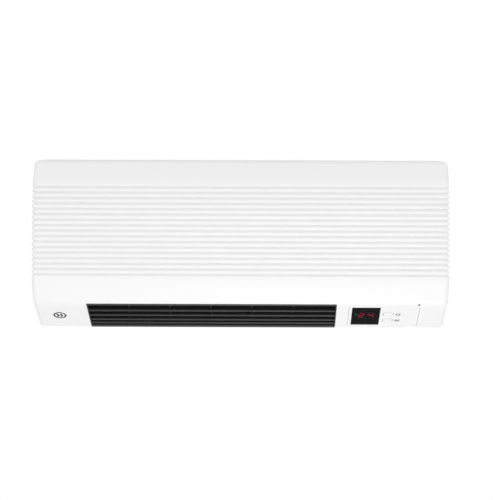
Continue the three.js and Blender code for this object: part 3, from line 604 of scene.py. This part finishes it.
def shell_solid(name, inset, back, grooved):
    """The body as a closed solid, inset from the outer skin and cut off square at the back."""
    path = section_path(inset, back)
    plain = [(point, normal, 0.0) for point, normal in path]
    if grooved:
        ribs = groove_rows(path)
        high, low = ribs[0][0].y, ribs[-1][0].y
        above = [row for row in plain if row[0].y > high + 0.3]
        below = [row for row in plain if row[0].y < low - 0.3]
        rows = above + ribs + below
    else:
        rows = plain
    radius = END_RADIUS - inset
    half = HALF_WIDTH - inset
    side_steps = ((4, 1.0), (9, 1.0), (13, 0.55), (GROOVE_WRAP, 0.0)) if grooved else ()
    lines = []
    for point, normal, depth in rows:
        line = []
        for step in range(9):
            a = math.radians(90 * step / 8)
            reach = radius - depth
            spot = point - normal * (radius - reach * math.cos(a))
            line.append((half - radius + reach * math.sin(a), spot.x, spot.y))
        edge = point - normal * radius
        for distance, fade in side_steps:
            line.append((half - depth * fade, edge.x + distance * wrap_share(point.y), edge.y))
        lines.append([(-x, y, z) for x, y, z in reversed(line)] + line)
    width = len(lines[0])
    verts = [point for line in lines for point in line]
    faces = []
    for row in range(len(lines) - 1):
        for column in range(width - 1):
            a = row * width + column
            faces.append([a, a + 1, a + width + 1, a + width])
    last = (len(lines) - 1) * width
    faces.append([row * width for row in range(len(lines))])
    faces.append([row * width + width - 1 for row in range(len(lines))])
    faces.append(list(range(width)) + list(range(last + width - 1, last - 1, -1)))
    return make_object(name, verts, faces)


# ------------------------------------------------------------------ casing

def pilot_hole():
    radius = PILOT_RADIUS + 0.3
    x = (PILOT[0] - radius, PILOT[0] + radius)
    y = (PILOT[1] - radius, PILOT[1] + radius)
    return flared_cutter(x, y, radius, 0.2)


def front_cover():
    cover = shell_solid("front_cover_shell", 0.0, PARTING, True)
    combine(cover, [shell_solid("cavity", WALL, PARTING + 6, False)])
    grille_low, grille_high = box_mm("intake_grille")
    switch_low, switch_high = box_mm("rocker_housing")
    cutters = [
        flared_cutter(OUTLET["x"], OUTLET["y"], 0.8, 0.6),
        flared_cutter(PANEL["x"], PANEL["y"], PANEL["round"], 0.35),
        pilot_hole(),
        block(
            "intake",
            (grille_low.x - INTAKE_GAP, grille_high.x + INTAKE_GAP),
            (grille_low.y - INTAKE_GAP, grille_high.y + INTAKE_GAP),
            (70, 120),
        ),
        block(
            "switch",
            (200, 240),
            (switch_low.y + 1, switch_high.y - 1),
            (switch_low.z + 1, switch_high.z - 1),
        ),
    ]
    for index in (1, 2, 3):
        low, high = box_mm(f"cover_screw_{index}")
        middle = (low + high) / 2
        seat = Matrix.Translation((middle.x, middle.y, -HALF_HEIGHT))
        cutters.append(lathe("hole", [(4.2, -2), (3.7, 0.4), (3.7, 1.4), (1.8, 1.41), (1.8, 6)], seat, 32))
    combine(cover, cutters)
    return stand_for(dress(smooth(cover, 28), FINISH["white_shell"]), "front_cover")


def top_height(path, y):
    """How high the top of the body is at a depth."""
    for (back, _), (front, _) in zip(path, path[1:]):
        if back.x >= y >= front.x and front.y > 0:
            return back.y + (front.y - back.y) * (back.x - y) / (back.x - front.x)
    raise ValueError(f"the top has no depth {y}")


def intake_grille():
    """The top intake: a plate that follows the body's curve, with rows of rounded slots."""
    low, high = box_mm("intake_grille")
    grille = shell_solid("intake_grille_fine", 0.0, PARTING, False)
    combine(grille, [shell_solid("cavity", WALL, PARTING + 6, False)])
    combine(grille, [block("edge", (low.x, high.x), (low.y, high.y), (70, 120))], "INTERSECT")
    path = section_path(0.0, PARTING)
    left, front = low.x - INTAKE_GAP + INTAKE["rim"], low.y - INTAKE_GAP + INTAKE["rim"]
    right, back = high.x + INTAKE_GAP - INTAKE["rim"], high.y + INTAKE_GAP - INTAKE["rim"]
    row_pitch = (back - front) / INTAKE["rows"]
    bay_pitch = (right - left) / INTAKE["bays"]
    slots = []
    for row in range(INTAKE["rows"]):
        middle = front + (row + 0.5) * row_pitch
        y = (middle - INTAKE["slot"] / 2, middle + INTAKE["slot"] / 2)
        level = Matrix.Translation((0, 0, top_height(path, middle)))
        for bay in range(INTAKE["bays"]):
            start = left + bay * bay_pitch
            x = (start + INTAKE["bar"] / 2, start + bay_pitch - INTAKE["bar"] / 2)
            slots.append(flared_cutter(x, y, 1.2, 0.5, matrix=level))
    combine(grille, slots)
    return stand_for(dress(smooth(grille), FINISH["white_trim"]), "intake_grille")


def rear_housing():
    """Tray with rounded edges, keyholes in closed cups, screw bosses and board posts."""
    back_frame = Matrix(((1, 0, 0, 0), (0, 0, -1, 0), (0, 1, 0, 0), (0, 0, 0, 1)))  # local z runs to -Y
    outer_x = (-HALF_WIDTH, HALF_WIDTH)
    outer_z = (-HALF_HEIGHT, HALF_HEIGHT)
    levels = edge_levels(0.0, REAR_DEPTH, 0.35, 1.2)
    tray = slab("rear_housing_shell", outer_x, outer_z, END_RADIUS, levels, back_frame, steps=10)
    inner_x = (-HALF_WIDTH + WALL, HALF_WIDTH - WALL)
    inner_z = (-HALF_HEIGHT + WALL, HALF_HEIGHT - WALL)
    hollow = edge_levels(WALL, REAR_DEPTH + 10, 0.2, 1.0)
    combine(tray, [slab("hollow", inner_x, inner_z, END_RADIUS - WALL, hollow, back_frame, steps=8)])
    cad = refined_copy("rear_housing", 0.0)
    inside = slab("inside", inner_x, inner_z, 2.0, [(WALL - 0.4, 0.05), (60, 0.05)], back_frame, steps=8)
    combine(cad, [inside], "INTERSECT")
    combine(tray, [cad], "UNION")
    cutters = []
    for side in (-1, 1):
        cutters.append(keyhole_cutter(side, back_frame))
    gland_low, gland_high = box_mm("cord_gland")
    gland = (gland_low + gland_high) / 2
    seat = Matrix.Translation((gland.x, gland.y, -HALF_HEIGHT))
    cutters.append(lathe("hole", [(GLAND_HOLE, -5), (GLAND_HOLE, 5)], seat, 40))
    combine(tray, cutters)
    return stand_for(dress(smooth(tray), FINISH["white_trim"]), "rear_housing")


def keyhole_cutter(side, matrix):
    """Round mouth with a slot above it, with a chamfer towards the wall."""
    x, z, radius = side * KEYHOLE["x"], KEYHOLE["z"], KEYHOLE["mouth"]
    slot, rise = KEYHOLE["slot"], KEYHOLE["rise"]
    points = []
    lead = math.degrees(math.asin(slot / radius))
    for px, py in arc((x, z), radius, 90 + lead, 450 - lead, 36):
        points.append((px, py))
    for px, py in arc((x, z + rise), slot, 0, 180, 14):
        points.append((px, py))
    centre = Vector((x, z + rise / 3))
    loops = []
    for level, grow in ((-1.0, 1.1), (0.0, 1.1), (0.7, 1.0), (6.0, 1.0)):
        loop = []
        for px, py in points:
            spot = centre + (Vector((px, py)) - centre) * grow
            loop.append(Vector((spot.x, spot.y, level)))
        loops.append(loop)
    return loft("keyhole", loops, matrix)


def refined_copy(node, width):
    """A copy of a CAD node without its facets' inner edges, with its real edges rounded."""
    source = frame["nodes"][node]
    obj = bpy.data.objects.new(f"{node}_fine", source.data.copy())
    bpy.context.scene.collection.objects.link(obj)
    work = bmesh.new()
    work.from_mesh(obj.data)
    bmesh.ops.remove_doubles(work, verts=work.verts, dist=2e-6)
    bmesh.ops.dissolve_limit(work, angle_limit=math.radians(0.6), verts=work.verts, edges=work.edges)
    bmesh.ops.recalc_face_normals(work, faces=work.faces)
    work.to_mesh(obj.data)
    work.free()
    obj.data.materials.clear()
    if width:
        bevel(obj, width)
    return obj


def refine(node, width):
    """Shows a CAD node with rounded edges and its own finish."""
    piece = refined_copy(node, width)
    return stand_for(dress(smooth(piece), FINISH[NODE_SLOT[node]]), node)


# ------------------------------------------------------------------ outlet

SLAT_ROWS = (8.7, -2.2, -12.4, -20.2)
SLAT_HALF = 1.2
UPRIGHT_FIRST = -120.9
UPRIGHT_PITCH = 44.4
UPRIGHT_COUNT = 5


def outlet_grille():
    x = (OUTLET["x"][0] + 0.3, OUTLET["x"][1] - 0.3)
    y = (OUTLET["y"][0] + 0.3, OUTLET["y"][1] - 0.3)
    front, back = -0.4, -8.4
    grille = slab("outlet_grille_fine", x, y, 0.6, edge_levels(back, front, 0.5), SLOPE)
    opening_x = (x[0] + 1.0, x[1] - 1.0)
    opening_y = (y[0] + 4.0, y[1] - 3.6)
    flare = [(back - 1, 0.0), (front - 1.2, 0.0), (front - 0.5, -0.12)]
    flare += [(front - 0.15, -0.4), (front + 2, -0.6)]
    combine(grille, [slab("opening", opening_x, opening_y, 0.5, flare, SLOPE)])
    bars = []
    nose = front - 0.2 - SLAT_HALF
    for middle in SLAT_ROWS:
        turns = [math.radians(a) for a in range(0, 181, 15)]
        outline = [(-0.8, back + 0.5), (-SLAT_HALF, nose - 1.5)]
        outline += [(-SLAT_HALF * math.cos(a), nose + SLAT_HALF * math.sin(a)) for a in turns]
        outline += [(SLAT_HALF, nose - 1.5), (0.8, back + 0.5)]
        loops = [[Vector((end, middle + v, w)) for v, w in outline] for end in (x[0] + 1, x[1] - 1)]
        bars.append(loft("slat", loops, SLOPE))
    for index in range(UPRIGHT_COUNT):
        middle = UPRIGHT_FIRST + index * UPRIGHT_PITCH
        edge = [(0.6, -3.7), (0.95, -4.6), (0.7, back + 0.2)]
        outline = [(-u, w) for u, w in reversed(edge)] + [(0, -3.4)] + edge
        loops = [[Vector((middle + u, end, w)) for u, w in outline] for end in (y[0] + 1, y[1] - 1)]
        bars.append(loft("upright", loops, SLOPE))
    combine(grille, bars, "UNION", overlapping=True)
    return stand_for(dress(smooth(grille), FINISH["black_grille"]), "outlet_grille")


# ------------------------------------------------------------------ control panel

def key_span(row, margin=0.0):
    x = (KEY_X - KEY_HALF[0] - margin, KEY_X + KEY_HALF[0] + margin)
    y = (row - KEY_HALF[1] - margin, row + KEY_HALF[1] + margin)
    return x, y


def control_panel():
    margin = 0.25
    x = (PANEL["x"][0] + margin, PANEL["x"][1] - margin)
    y = (PANEL["y"][0] + margin, PANEL["y"][1] - margin)
    levels = edge_levels(-WALL, 0, 0.35)
    panel = slab("control_panel_fine", x, y, PANEL["round"] - margin, levels, SLOPE, steps=10)
    cutters = [flared_cutter(*key_span(row, KEY_GAP), KEY_ROUND + KEY_GAP, 0.2) for row in KEY_ROWS.values()]
    window_x = (WINDOW["x"][0] - WINDOW_GAP, WINDOW["x"][1] + WINDOW_GAP)
    window_y = (WINDOW["y"][0] - WINDOW_GAP, WINDOW["y"][1] + WINDOW_GAP)
    cutters.append(flared_cutter(window_x, window_y, WINDOW["round"], 0.25))
    combine(panel, cutters)
    posts = []
    for post_x, post_y in PANEL_POSTS:
        tube = Matrix.Translation((post_x, post_y, 0))
        profile = [(1.4, -12.1), (3, -12.1), (3, -WALL - 0.4), (3.4, -WALL + 0.3), (1.4, -WALL + 0.3)]
        posts.append(ring_lathe("post", profile, SLOPE @ tube, 32))
    combine(panel, posts, "UNION")
    return stand_for(dress(smooth(panel), FINISH["white_shell"]), "control_panel")


def display_window():
    x = (WINDOW["x"][0] + WINDOW_GAP, WINDOW["x"][1] - WINDOW_GAP)
    y = (WINDOW["y"][0] + WINDOW_GAP, WINDOW["y"][1] - WINDOW_GAP)
    window = slab("display_window_fine", x, y, WINDOW["round"], edge_levels(-WALL, -0.2, 0.25, 0.1), SLOPE)
    return stand_for(dress(smooth(window), FINISH["smoked_window"]), "display_window")


def key(name, row):
    """A pill-shaped cap with a soft crown, its keeper flange and its stem, as one moulding."""
    (x0, x1), (y0, y1) = key_span(row)
    middle = Vector((KEY_X, row))
    loops = []

    def level(z, half_x, half_y, radius):
        x = (middle.x - half_x, middle.x + half_x)
        y = (middle.y - half_y, middle.y + half_y)
        loops.append(rounded_loop(x, y, radius, z, 8))

    half_x, half_y = (x1 - x0) / 2, (y1 - y0) / 2
    for z in (-7.2, -6.9):
        level(z, 2.0, 2.0, 2.0)
    level(-WALL - 1.6, 2.0, 2.0, 2.0)
    level(-WALL - 1.6, half_x + 1.2, half_y + 1.2, KEY_ROUND)
    level(-WALL - 0.6, half_x + 1.2, half_y + 1.2, KEY_ROUND)
    level(-WALL - 0.6, half_x, half_y, KEY_ROUND)
    for turn in (0, 25, 50, 75):
        a = math.radians(turn)
        inset = 0.45 * (1 - math.cos(a))
        level(KEY_TOP - 0.35 * (1 - math.sin(a)), half_x - inset, half_y - inset, KEY_ROUND - inset)
    level(KEY_TOP, half_x - 1.2, half_y - 1.2, KEY_ROUND - 1.2)
    piece = loft(f"{name}_cap", loops, SLOPE)
    return stand_for(dress(smooth(piece, 40), FINISH["white_trim"]), name)


# Lit bars of a seven-segment figure, in the order top, upper right, lower right, bottom, lower left,
# upper left, middle.
FIGURES = {"2": (1, 1, 0, 1, 1, 0, 1), "4": (0, 1, 1, 0, 0, 1, 1)}


def figure_bars(centre, lit):
    """The bars of one figure that are lit, or the ones that aren't, as outlines."""
    half_w, half_h, thick, lean = 2.6, 4.4, 0.75, 0.03
    spans = (
        ((-half_w, half_h), (half_w, half_h)),
        ((half_w, half_h), (half_w, 0)),
        ((half_w, 0), (half_w, -half_h)),
        ((-half_w, -half_h), (half_w, -half_h)),
        ((-half_w, 0), (-half_w, -half_h)),
        ((-half_w, half_h), (-half_w, 0)),
        ((-half_w, 0), (half_w, 0)),
    )
    outlines = []
    for on, (start, end) in zip(lit, spans):
        if not on:
            continue
        start, end = Vector(start), Vector(end)
        along = (end - start).normalized()
        side = Vector((-along.y, along.x)) * thick
        gap = 0.28
        tip_a, tip_b = start + along * gap, end - along * gap
        root_a, root_b = tip_a + along * thick, tip_b - along * thick
        outline = [tip_a, root_a - side, root_b - side, tip_b, root_b + side, root_a + side]
        outlines.append([(centre[0] + p.x + lean * p.y, centre[1] + p.y) for p in outline])
    return outlines


def flat_shapes(name, outlines, z):
    """Thin flat pieces on the slanted frame, joined into one."""
    parts = []
    for outline in outlines:
        loops = [[Vector((u, v, level)) for u, v in outline] for level in z]
        parts.append(loft(name, loops, SLOPE))
    return merge(parts, name)


def dot(centre, radius):
    return arc(centre, radius, 0, 360, 20)


def display():
    """Two lit figures, a green dot, and the bars and dots that aren't lit."""
    z = (DISPLAY_FACE, DISPLAY_FACE + 0.12)
    figures_row, dots_row = -5.0, 9.4
    centres = ((131.4, figures_row), (141.4, figures_row))
    lit, unlit = [], []
    for centre, figure in zip(centres, "24"):
        lit += figure_bars(centre, FIGURES[figure])
        unlit += figure_bars(centre, [1 - on for on in FIGURES[figure]])
    red = flat_shapes("display_figures", lit, z)
    add_to(dress(red, FINISH["led_red"]), "chassis")
    unlit += [dot((x, dots_row), 0.6) for x in (127.0, 131.5, 136.0, 140.5, 145.0)]
    off = flat_shapes("display_unlit_bars", unlit, z)
    add_to(dress(off, FINISH["led_off"]), "chassis")
    green = flat_shapes("display_status_dot", [dot((125.6, figures_row + 1.4), 1.1)], z)
    add_to(dress(green, FINISH["led_green"]), "chassis")


def pilot_lamp():
    lens = Matrix.Translation((PILOT[0], PILOT[1], 0))
    r = PILOT_RADIUS
    profile = [(r, -6.0), (r, -1.1), (r * 0.92, -0.8), (r * 0.7, -0.58), (r * 0.35, -0.5)]
    piece = lathe("pilot_lamp_lens", profile, SLOPE @ lens, 32)
    return stand_for(dress(smooth(piece, 50), FINISH["pilot_lens"]), "pilot_lamp")


def wave(start, end, height, swings):
    """A wavy stroke from start to end."""
    start, end = Vector(start), Vector(end)
    along = end - start
    side = Vector((-along.y, along.x)).normalized()
    count = 8 * swings
    points = []
    for index in range(count + 1):
        share = index / count
        sway = math.sin(share * swings * math.pi) * height
        spot = start + along * share + side * sway
        points.append((spot.x, spot.y))
    return points


def prints():
    """Symbols printed on the slanted face: power, airflow, and a generic hot-surface ring."""
    z = (-0.02, 0.04)
    power_row, mode_row = KEY_ROWS["power_button"], KEY_ROWS["mode_button"]
    symbol_x = KEY_X + 10.4
    symbols = [
        (arc((symbol_x, power_row), 2.2, 125, 415, 22), False),
        ([(symbol_x, power_row + 0.4), (symbol_x, power_row + 3.2)], False),
        (wave((symbol_x - 2.7, mode_row - 1.1), (symbol_x + 2.7, mode_row - 1.1), 0.8, 3), False),
        (wave((symbol_x - 2.7, mode_row + 1.3), (symbol_x + 2.7, mode_row + 1.3), 0.8, 3), False),
    ]
    keys = stroke("key_symbols", symbols, 0.95, z, SLOPE)
    add_to(dress(keys, FINISH["ink"]), "chassis")
    centre = (-196.9, -0.5)
    ring = [(arc(centre, 6.2, 0, 360, 56), True)]
    for offset in (-1.9, 1.9):
        foot = (centre[0] + offset, centre[1] - 3.4)
        head = (centre[0] + offset, centre[1] + 3.4)
        ring.append((wave(foot, head, 0.9, 3), False))
    mark = stroke("hot_surface_mark", ring, 1.8, z, SLOPE)
    add_to(dress(mark, FINISH["ink"]), "chassis")


# ------------------------------------------------------------------ small hardware

def pan_screw(node, seat, direction, length, shank, matrix=None):
    """A cross-recessed pan-head screw with a thread, its head seated at `seat`."""
    turn = direction.to_track_quat("Z", "Y").to_matrix().to_4x4()
    place = Matrix.Translation(seat) @ turn
    if matrix is not None:
        place = matrix @ place
    head = [(1.2, -SCREW_HEAD), (2.1, -1.3), (2.7, -1.02), (2.95, -0.6), (3.0, -0.15), (2.9, 0.0)]
    profile = [*head, (shank * 0.86, 0.0)]
    pitch = 1.1
    turns = int((length - 2) / pitch)
    root = shank * 0.78
    for index in range(turns):
        start = 0.8 + index * pitch
        profile += [(root, start), (root, start + 0.45), (shank, start + 0.7), (root, start + 0.95)]
    profile += [(shank * 0.7, length - 0.8), (0.1, length)]
    screw = lathe(f"{node}_fine", profile, place, 24)
    cross = []
    for half in ((1.5, 0.32), (0.32, 1.5)):
        cross.append(block("cross", (-half[0], half[0]), (-half[1], half[1]), (-2.0, -0.75), place))
    combine(screw, cross[:1])
    combine(screw, cross[1:])
    return stand_for(dress(smooth(screw), FINISH["steel"]), node)


def screws():
    for kind, count, axis, length in (
        ("cover_screw", 3, Vector((0, 0, 1)), 11),
        ("motor_screw", 2, Vector((-1, 0, 0)), 7),
        ("board_screw", 4, Vector((0, 1, 0)), 8),
    ):
        for index in range(1, count + 1):
            low, high = box_mm(f"{kind}_{index}")
            half = abs((high - low).dot(axis)) / 2
            seat = (low + high) / 2 - axis * (half - SCREW_HEAD)
            pan_screw(f"{kind}_{index}", seat, axis, length, 1.5)
    for index, (x, y) in enumerate(PANEL_POSTS, start=1):
        seat = Vector((x, y, CIRCUIT_BACK - 0.3))
        pan_screw(f"panel_screw_{index}", seat, Vector((0, 0, 1)), 9, 1.1, SLOPE)


def cord_gland():
    """Rubber gland with stepped rings, open through its middle."""
    low, high = box_mm("cord_gland")
    middle = (low + high) / 2
    place = Matrix.Translation((middle.x, middle.y, low.z))
    tall = high.z - low.z
    seat, grip = 1.2, tall - 2.5  # where the outer and inner flanges meet the wall
    profile = [
        (3.8, 0.4), (4.1, 0.1), (4.5, 0.0), (6.3, 0.0), (6.8, 0.15), (7.3, 0.7), (7.6, 1.0), (7.6, seat),
        (5.5, seat), (5.5, grip), (7.4, grip), (7.5, grip + 0.3), (7.1, tall - 0.3), (6.8, tall), (4.1, tall),
        (3.8, tall - 0.3), (3.8, 5.2), (4.0, 4.9), (4.0, 4.3), (3.8, 4.0), (3.8, 2.9), (4.0, 2.6), (4.0, 2.0),
        (3.8, 1.7),
    ]
    piece = ring_lathe("cord_gland_fine", profile, place, 56)
    return stand_for(dress(smooth(piece), FINISH["black_rubber"]), "cord_gland")


def rocker_marks():
    """The on and off marks, printed on the paddle's two faces."""
    low, high = box_mm("rocker_housing")
    middle = (low + high) / 2
    tilt = Matrix.Rotation(math.radians(10), 4, "Y")
    pivot = Matrix.Translation((HALF_WIDTH - 1, middle.y, middle.z)) @ tilt
    face = math.atan2(1.6, 7.9)
    for name, sign, paths in (
        ("rocker_on_mark", 1, [([(-1.4, 0), (1.4, 0)], False)]),
        ("rocker_off_mark", -1, [(arc((0, 0), 1.4, 0, 360, 24), True)]),
    ):
        spot = Matrix.Translation((1.41, 0, sign * 3.95))
        lie = Matrix.Rotation(math.radians(90) - sign * face, 4, "Y")
        mark = stroke(name, paths, 0.5, (-0.02, 0.05), pivot @ spot @ lie)
        add_to(dress(mark, FINISH["white_trim"]), "rocker")


# ------------------------------------------------------------------ inside

def heater_elements():
    """Aluminium elements with finely folded fins between a flat tube and two rails."""
    tilt = Matrix.Rotation(math.radians(-16.9), 4, "X")
    for index in (1, 2, 3):
        low, high = box_mm(f"heater_element_{index}")
        middle = (low + high) / 2
        place = Matrix.Translation((0, middle.y, middle.z)) @ tilt
        x = (low.x, high.x)
        z = (-7.0, 7.0)
        tube_levels = [(z[0], 0.2), (z[0] + 0.3, 0), (z[1] - 0.3, 0), (z[1], 0.2)]
        parts = [
            slab("tube", x, (-1.5, 1.5), 0.4, tube_levels, place),
            slab("rail", x, (-7.5, -6.7), 0.2, [(z[0], 0), (z[1], 0)], place),
            slab("rail", x, (6.7, 7.5), 0.2, [(z[0], 0), (z[1], 0)], place),
        ]
        folds = 92
        step = (x[1] - x[0] - 4) / folds
        for bottom, top in ((1.45, 6.65), (-6.75, -1.55)):
            points = [(x[0] + 2 + fold * step, bottom if fold % 2 else top) for fold in range(folds + 1)]
            outline = points + [(u, v + 0.14) for u, v in reversed(points)]
            verts = [Vector((u, v, level)) for level in (z[0] + 0.4, z[1] - 0.4) for u, v in outline]
            count = len(points)
            total = 2 * count
            faces = []
            for fold in range(count - 1):
                a, b = fold, fold + 1
                c, d = total - 1 - b, total - 1 - a
                faces += [[a, b, c, d], [total + a, total + b, total + c, total + d]]
                faces += [[a, b, total + b, total + a], [d, c, total + c, total + d]]
            faces.append([0, total - 1, 2 * total - 1, total])
            faces.append([count - 1, count, total + count, total + count - 1])
            parts.append(make_object("fins", verts, faces, place))
        element = merge(parts, f"heater_element_{index}_fine")
        stand_for(dress(smooth(element, 20), FINISH["heater_aluminium"]), f"heater_element_{index}")


def filter_net():
    """A woven net of crossing threads inside the sheet that the CAD node gives."""
    low, high = box_mm("filter_net")
    pitch, half = 2.4, 0.2
    level = (low.z + high.z) / 2
    columns = int((high.x - low.x) / pitch)
    lines = int((high.y - low.y) / pitch)
    verts, faces = [], []

    def thread(x, y, z):
        first = len(verts)
        corners = ((x[0], y[0]), (x[1], y[0]), (x[1], y[1]), (x[0], y[1]))
        verts.extend((px, py, pz) for pz in z for px, py in corners)
        quads = ((0, 1, 2, 3), (4, 5, 6, 7), (0, 1, 5, 4), (1, 2, 6, 5), (2, 3, 7, 6), (3, 0, 4, 7))
        faces.extend([first + corner for corner in quad] for quad in quads)

    for column in range(columns + 1):
        x = low.x + half + column * pitch
        thread((x - half, x + half), (low.y, high.y), (level, level + 0.28))
    for line in range(lines + 1):
        y = low.y + half + line * pitch
        thread((low.x, high.x), (y - half, y + half), (level - 0.28, level))
    net = make_object("filter_net_fine", verts, faces)
    stand_for(dress(net, FINISH["filter_net"]), "filter_net")


REFINED = {
    # node: edge round in millimetres
    "filter_frame": 0.4,
    "rear_scroll": 0.3,
    "front_duct": 0.3,
    "left_end_plate": 0.3,
    "right_end_plate": 0.3,
    "impeller": 0.12,
    "impeller_stub_shaft": 0.3,
    "hub_set_screw": 0.2,
    "bearing_bush": 0.25,
    "bearing_rubber": 0.4,
    "motor_stator": 0.8,
    "motor_rotor": 0.4,
    "motor_mount": 0.5,
    "heater_holder_left": 0.6,
    "heater_holder_right": 0.15,
    "thermal_cutout": 0.4,
    "thermal_fuse": 0.4,
    "power_board": 0.1,
    "relay_1": 0.6,
    "relay_2": 0.6,
    "transformer": 0.8,
    "terminal_block": 0.4,
    "capacitor": 0.7,
    "display_board": 0.1,
    "led_display": 0.4,
    "ir_receiver": 0.5,
    "tact_switch_1": 0.2,
    "tact_switch_2": 0.2,
    "rocker_housing": 0.3,
    "rocker_paddle": 0.4,
    "heater_lead_1": 0.0,
    "heater_lead_2": 0.0,
    "motor_lead": 0.0,
}


# ------------------------------------------------------------------ stage

def studio():
    """Pale floor well below the hung heater, soft light all round, and a broad key from the front."""
    scene = bpy.context.scene
    scene.view_settings.view_transform = "Standard"
    world = bpy.data.worlds.new("studio")
    world.use_nodes = True
    tree = world.node_tree
    soft = tree.nodes["Background"]
    soft.inputs["Color"].default_value = (1, 1, 1, 1)
    paper = tree.nodes.new("ShaderNodeBackground")  # the white paper that the camera sees
    paper.inputs["Color"].default_value = (1, 1, 1, 1)
    coords = tree.nodes.new("ShaderNodeTexCoord")
    height = tree.nodes.new("ShaderNodeSeparateXYZ")
    dome = tree.nodes.new("ShaderNodeMapRange")  # brighter below, as over a pale sweep
    dome.inputs["From Min"].default_value = -1
    dome.inputs["To Min"].default_value = 0.9
    dome.inputs["To Max"].default_value = 0.8
    tree.links.new(coords.outputs["Generated"], height.inputs["Vector"])
    tree.links.new(height.outputs["Z"], dome.inputs["Value"])
    tree.links.new(dome.outputs["Result"], soft.inputs["Strength"])
    path = tree.nodes.new("ShaderNodeLightPath")
    mix = tree.nodes.new("ShaderNodeMixShader")
    tree.links.new(path.outputs["Is Camera Ray"], mix.inputs["Fac"])
    tree.links.new(soft.outputs["Background"], mix.inputs[1])
    tree.links.new(paper.outputs["Background"], mix.inputs[2])
    tree.links.new(mix.outputs["Shader"], tree.nodes["World Output"].inputs["Surface"])
    scene.world = world

    half, near, far, level = 1800, -2600, 900, -800
    corners = [(-half, near, level), (half, near, level), (half, far, level), (-half, far, level)]
    floor = make_object("floor", corners, [[0, 1, 2, 3]])
    finish, tree, shader = new_finish("pale_floor", (0.9, 0.9, 0.9), 0.6)
    tone = tint(tree, place_noise(tree, 60, 3), (0.89, 0.89, 0.89), (0.91, 0.91, 0.91))
    tree.links.new(tone, shader.inputs["Base Color"])
    floor.data.materials.append(finish)

    soft_box("key", (0.05, -2.4, 0.4), (1.6, 0.8), 10)
    soft_box("low_fill", (0.1, -0.36, -0.74), (0.45, 0.4), 1.5)


def soft_box(name, place, size, power):
    """A soft light aimed at the heater."""
    light = bpy.data.lights.new(name, "AREA")
    light.shape = "RECTANGLE"
    light.size, light.size_y = size
    light.energy = power
    lamp = bpy.data.objects.new(name, light)
    lamp.location = place
    lamp.rotation_euler = (-Vector(place)).to_track_quat("-Z", "Y").to_euler()
    bpy.context.scene.collection.objects.link(lamp)


def camera():
    """Square to the front, a little right of centre, at mid-height."""
    data = bpy.data.cameras.new("camera")
    data.lens = 98.3
    data.sensor_width = 36
    data.shift_x = -0.0482
    data.shift_y = -0.013
    eye = bpy.data.objects.new("camera", data)
    distance = 1.45
    eye.location = (0.032, cad_low.y - distance, 0)
    eye.rotation_euler = (math.radians(90), math.radians(-0.2), 0)
    bpy.context.scene.collection.objects.link(eye)
    bpy.context.scene.camera = eye


camera()
studio()
front_cover()
intake_grille()
rear_housing()
outlet_grille()
control_panel()
display_window()
for key_name, key_row in KEY_ROWS.items():
    key(key_name, key_row)
display()
pilot_lamp()
prints()
screws()
cord_gland()
rocker_marks()
heater_elements()
filter_net()
for node_name, edge_round in REFINED.items():
    refine(node_name, edge_round)
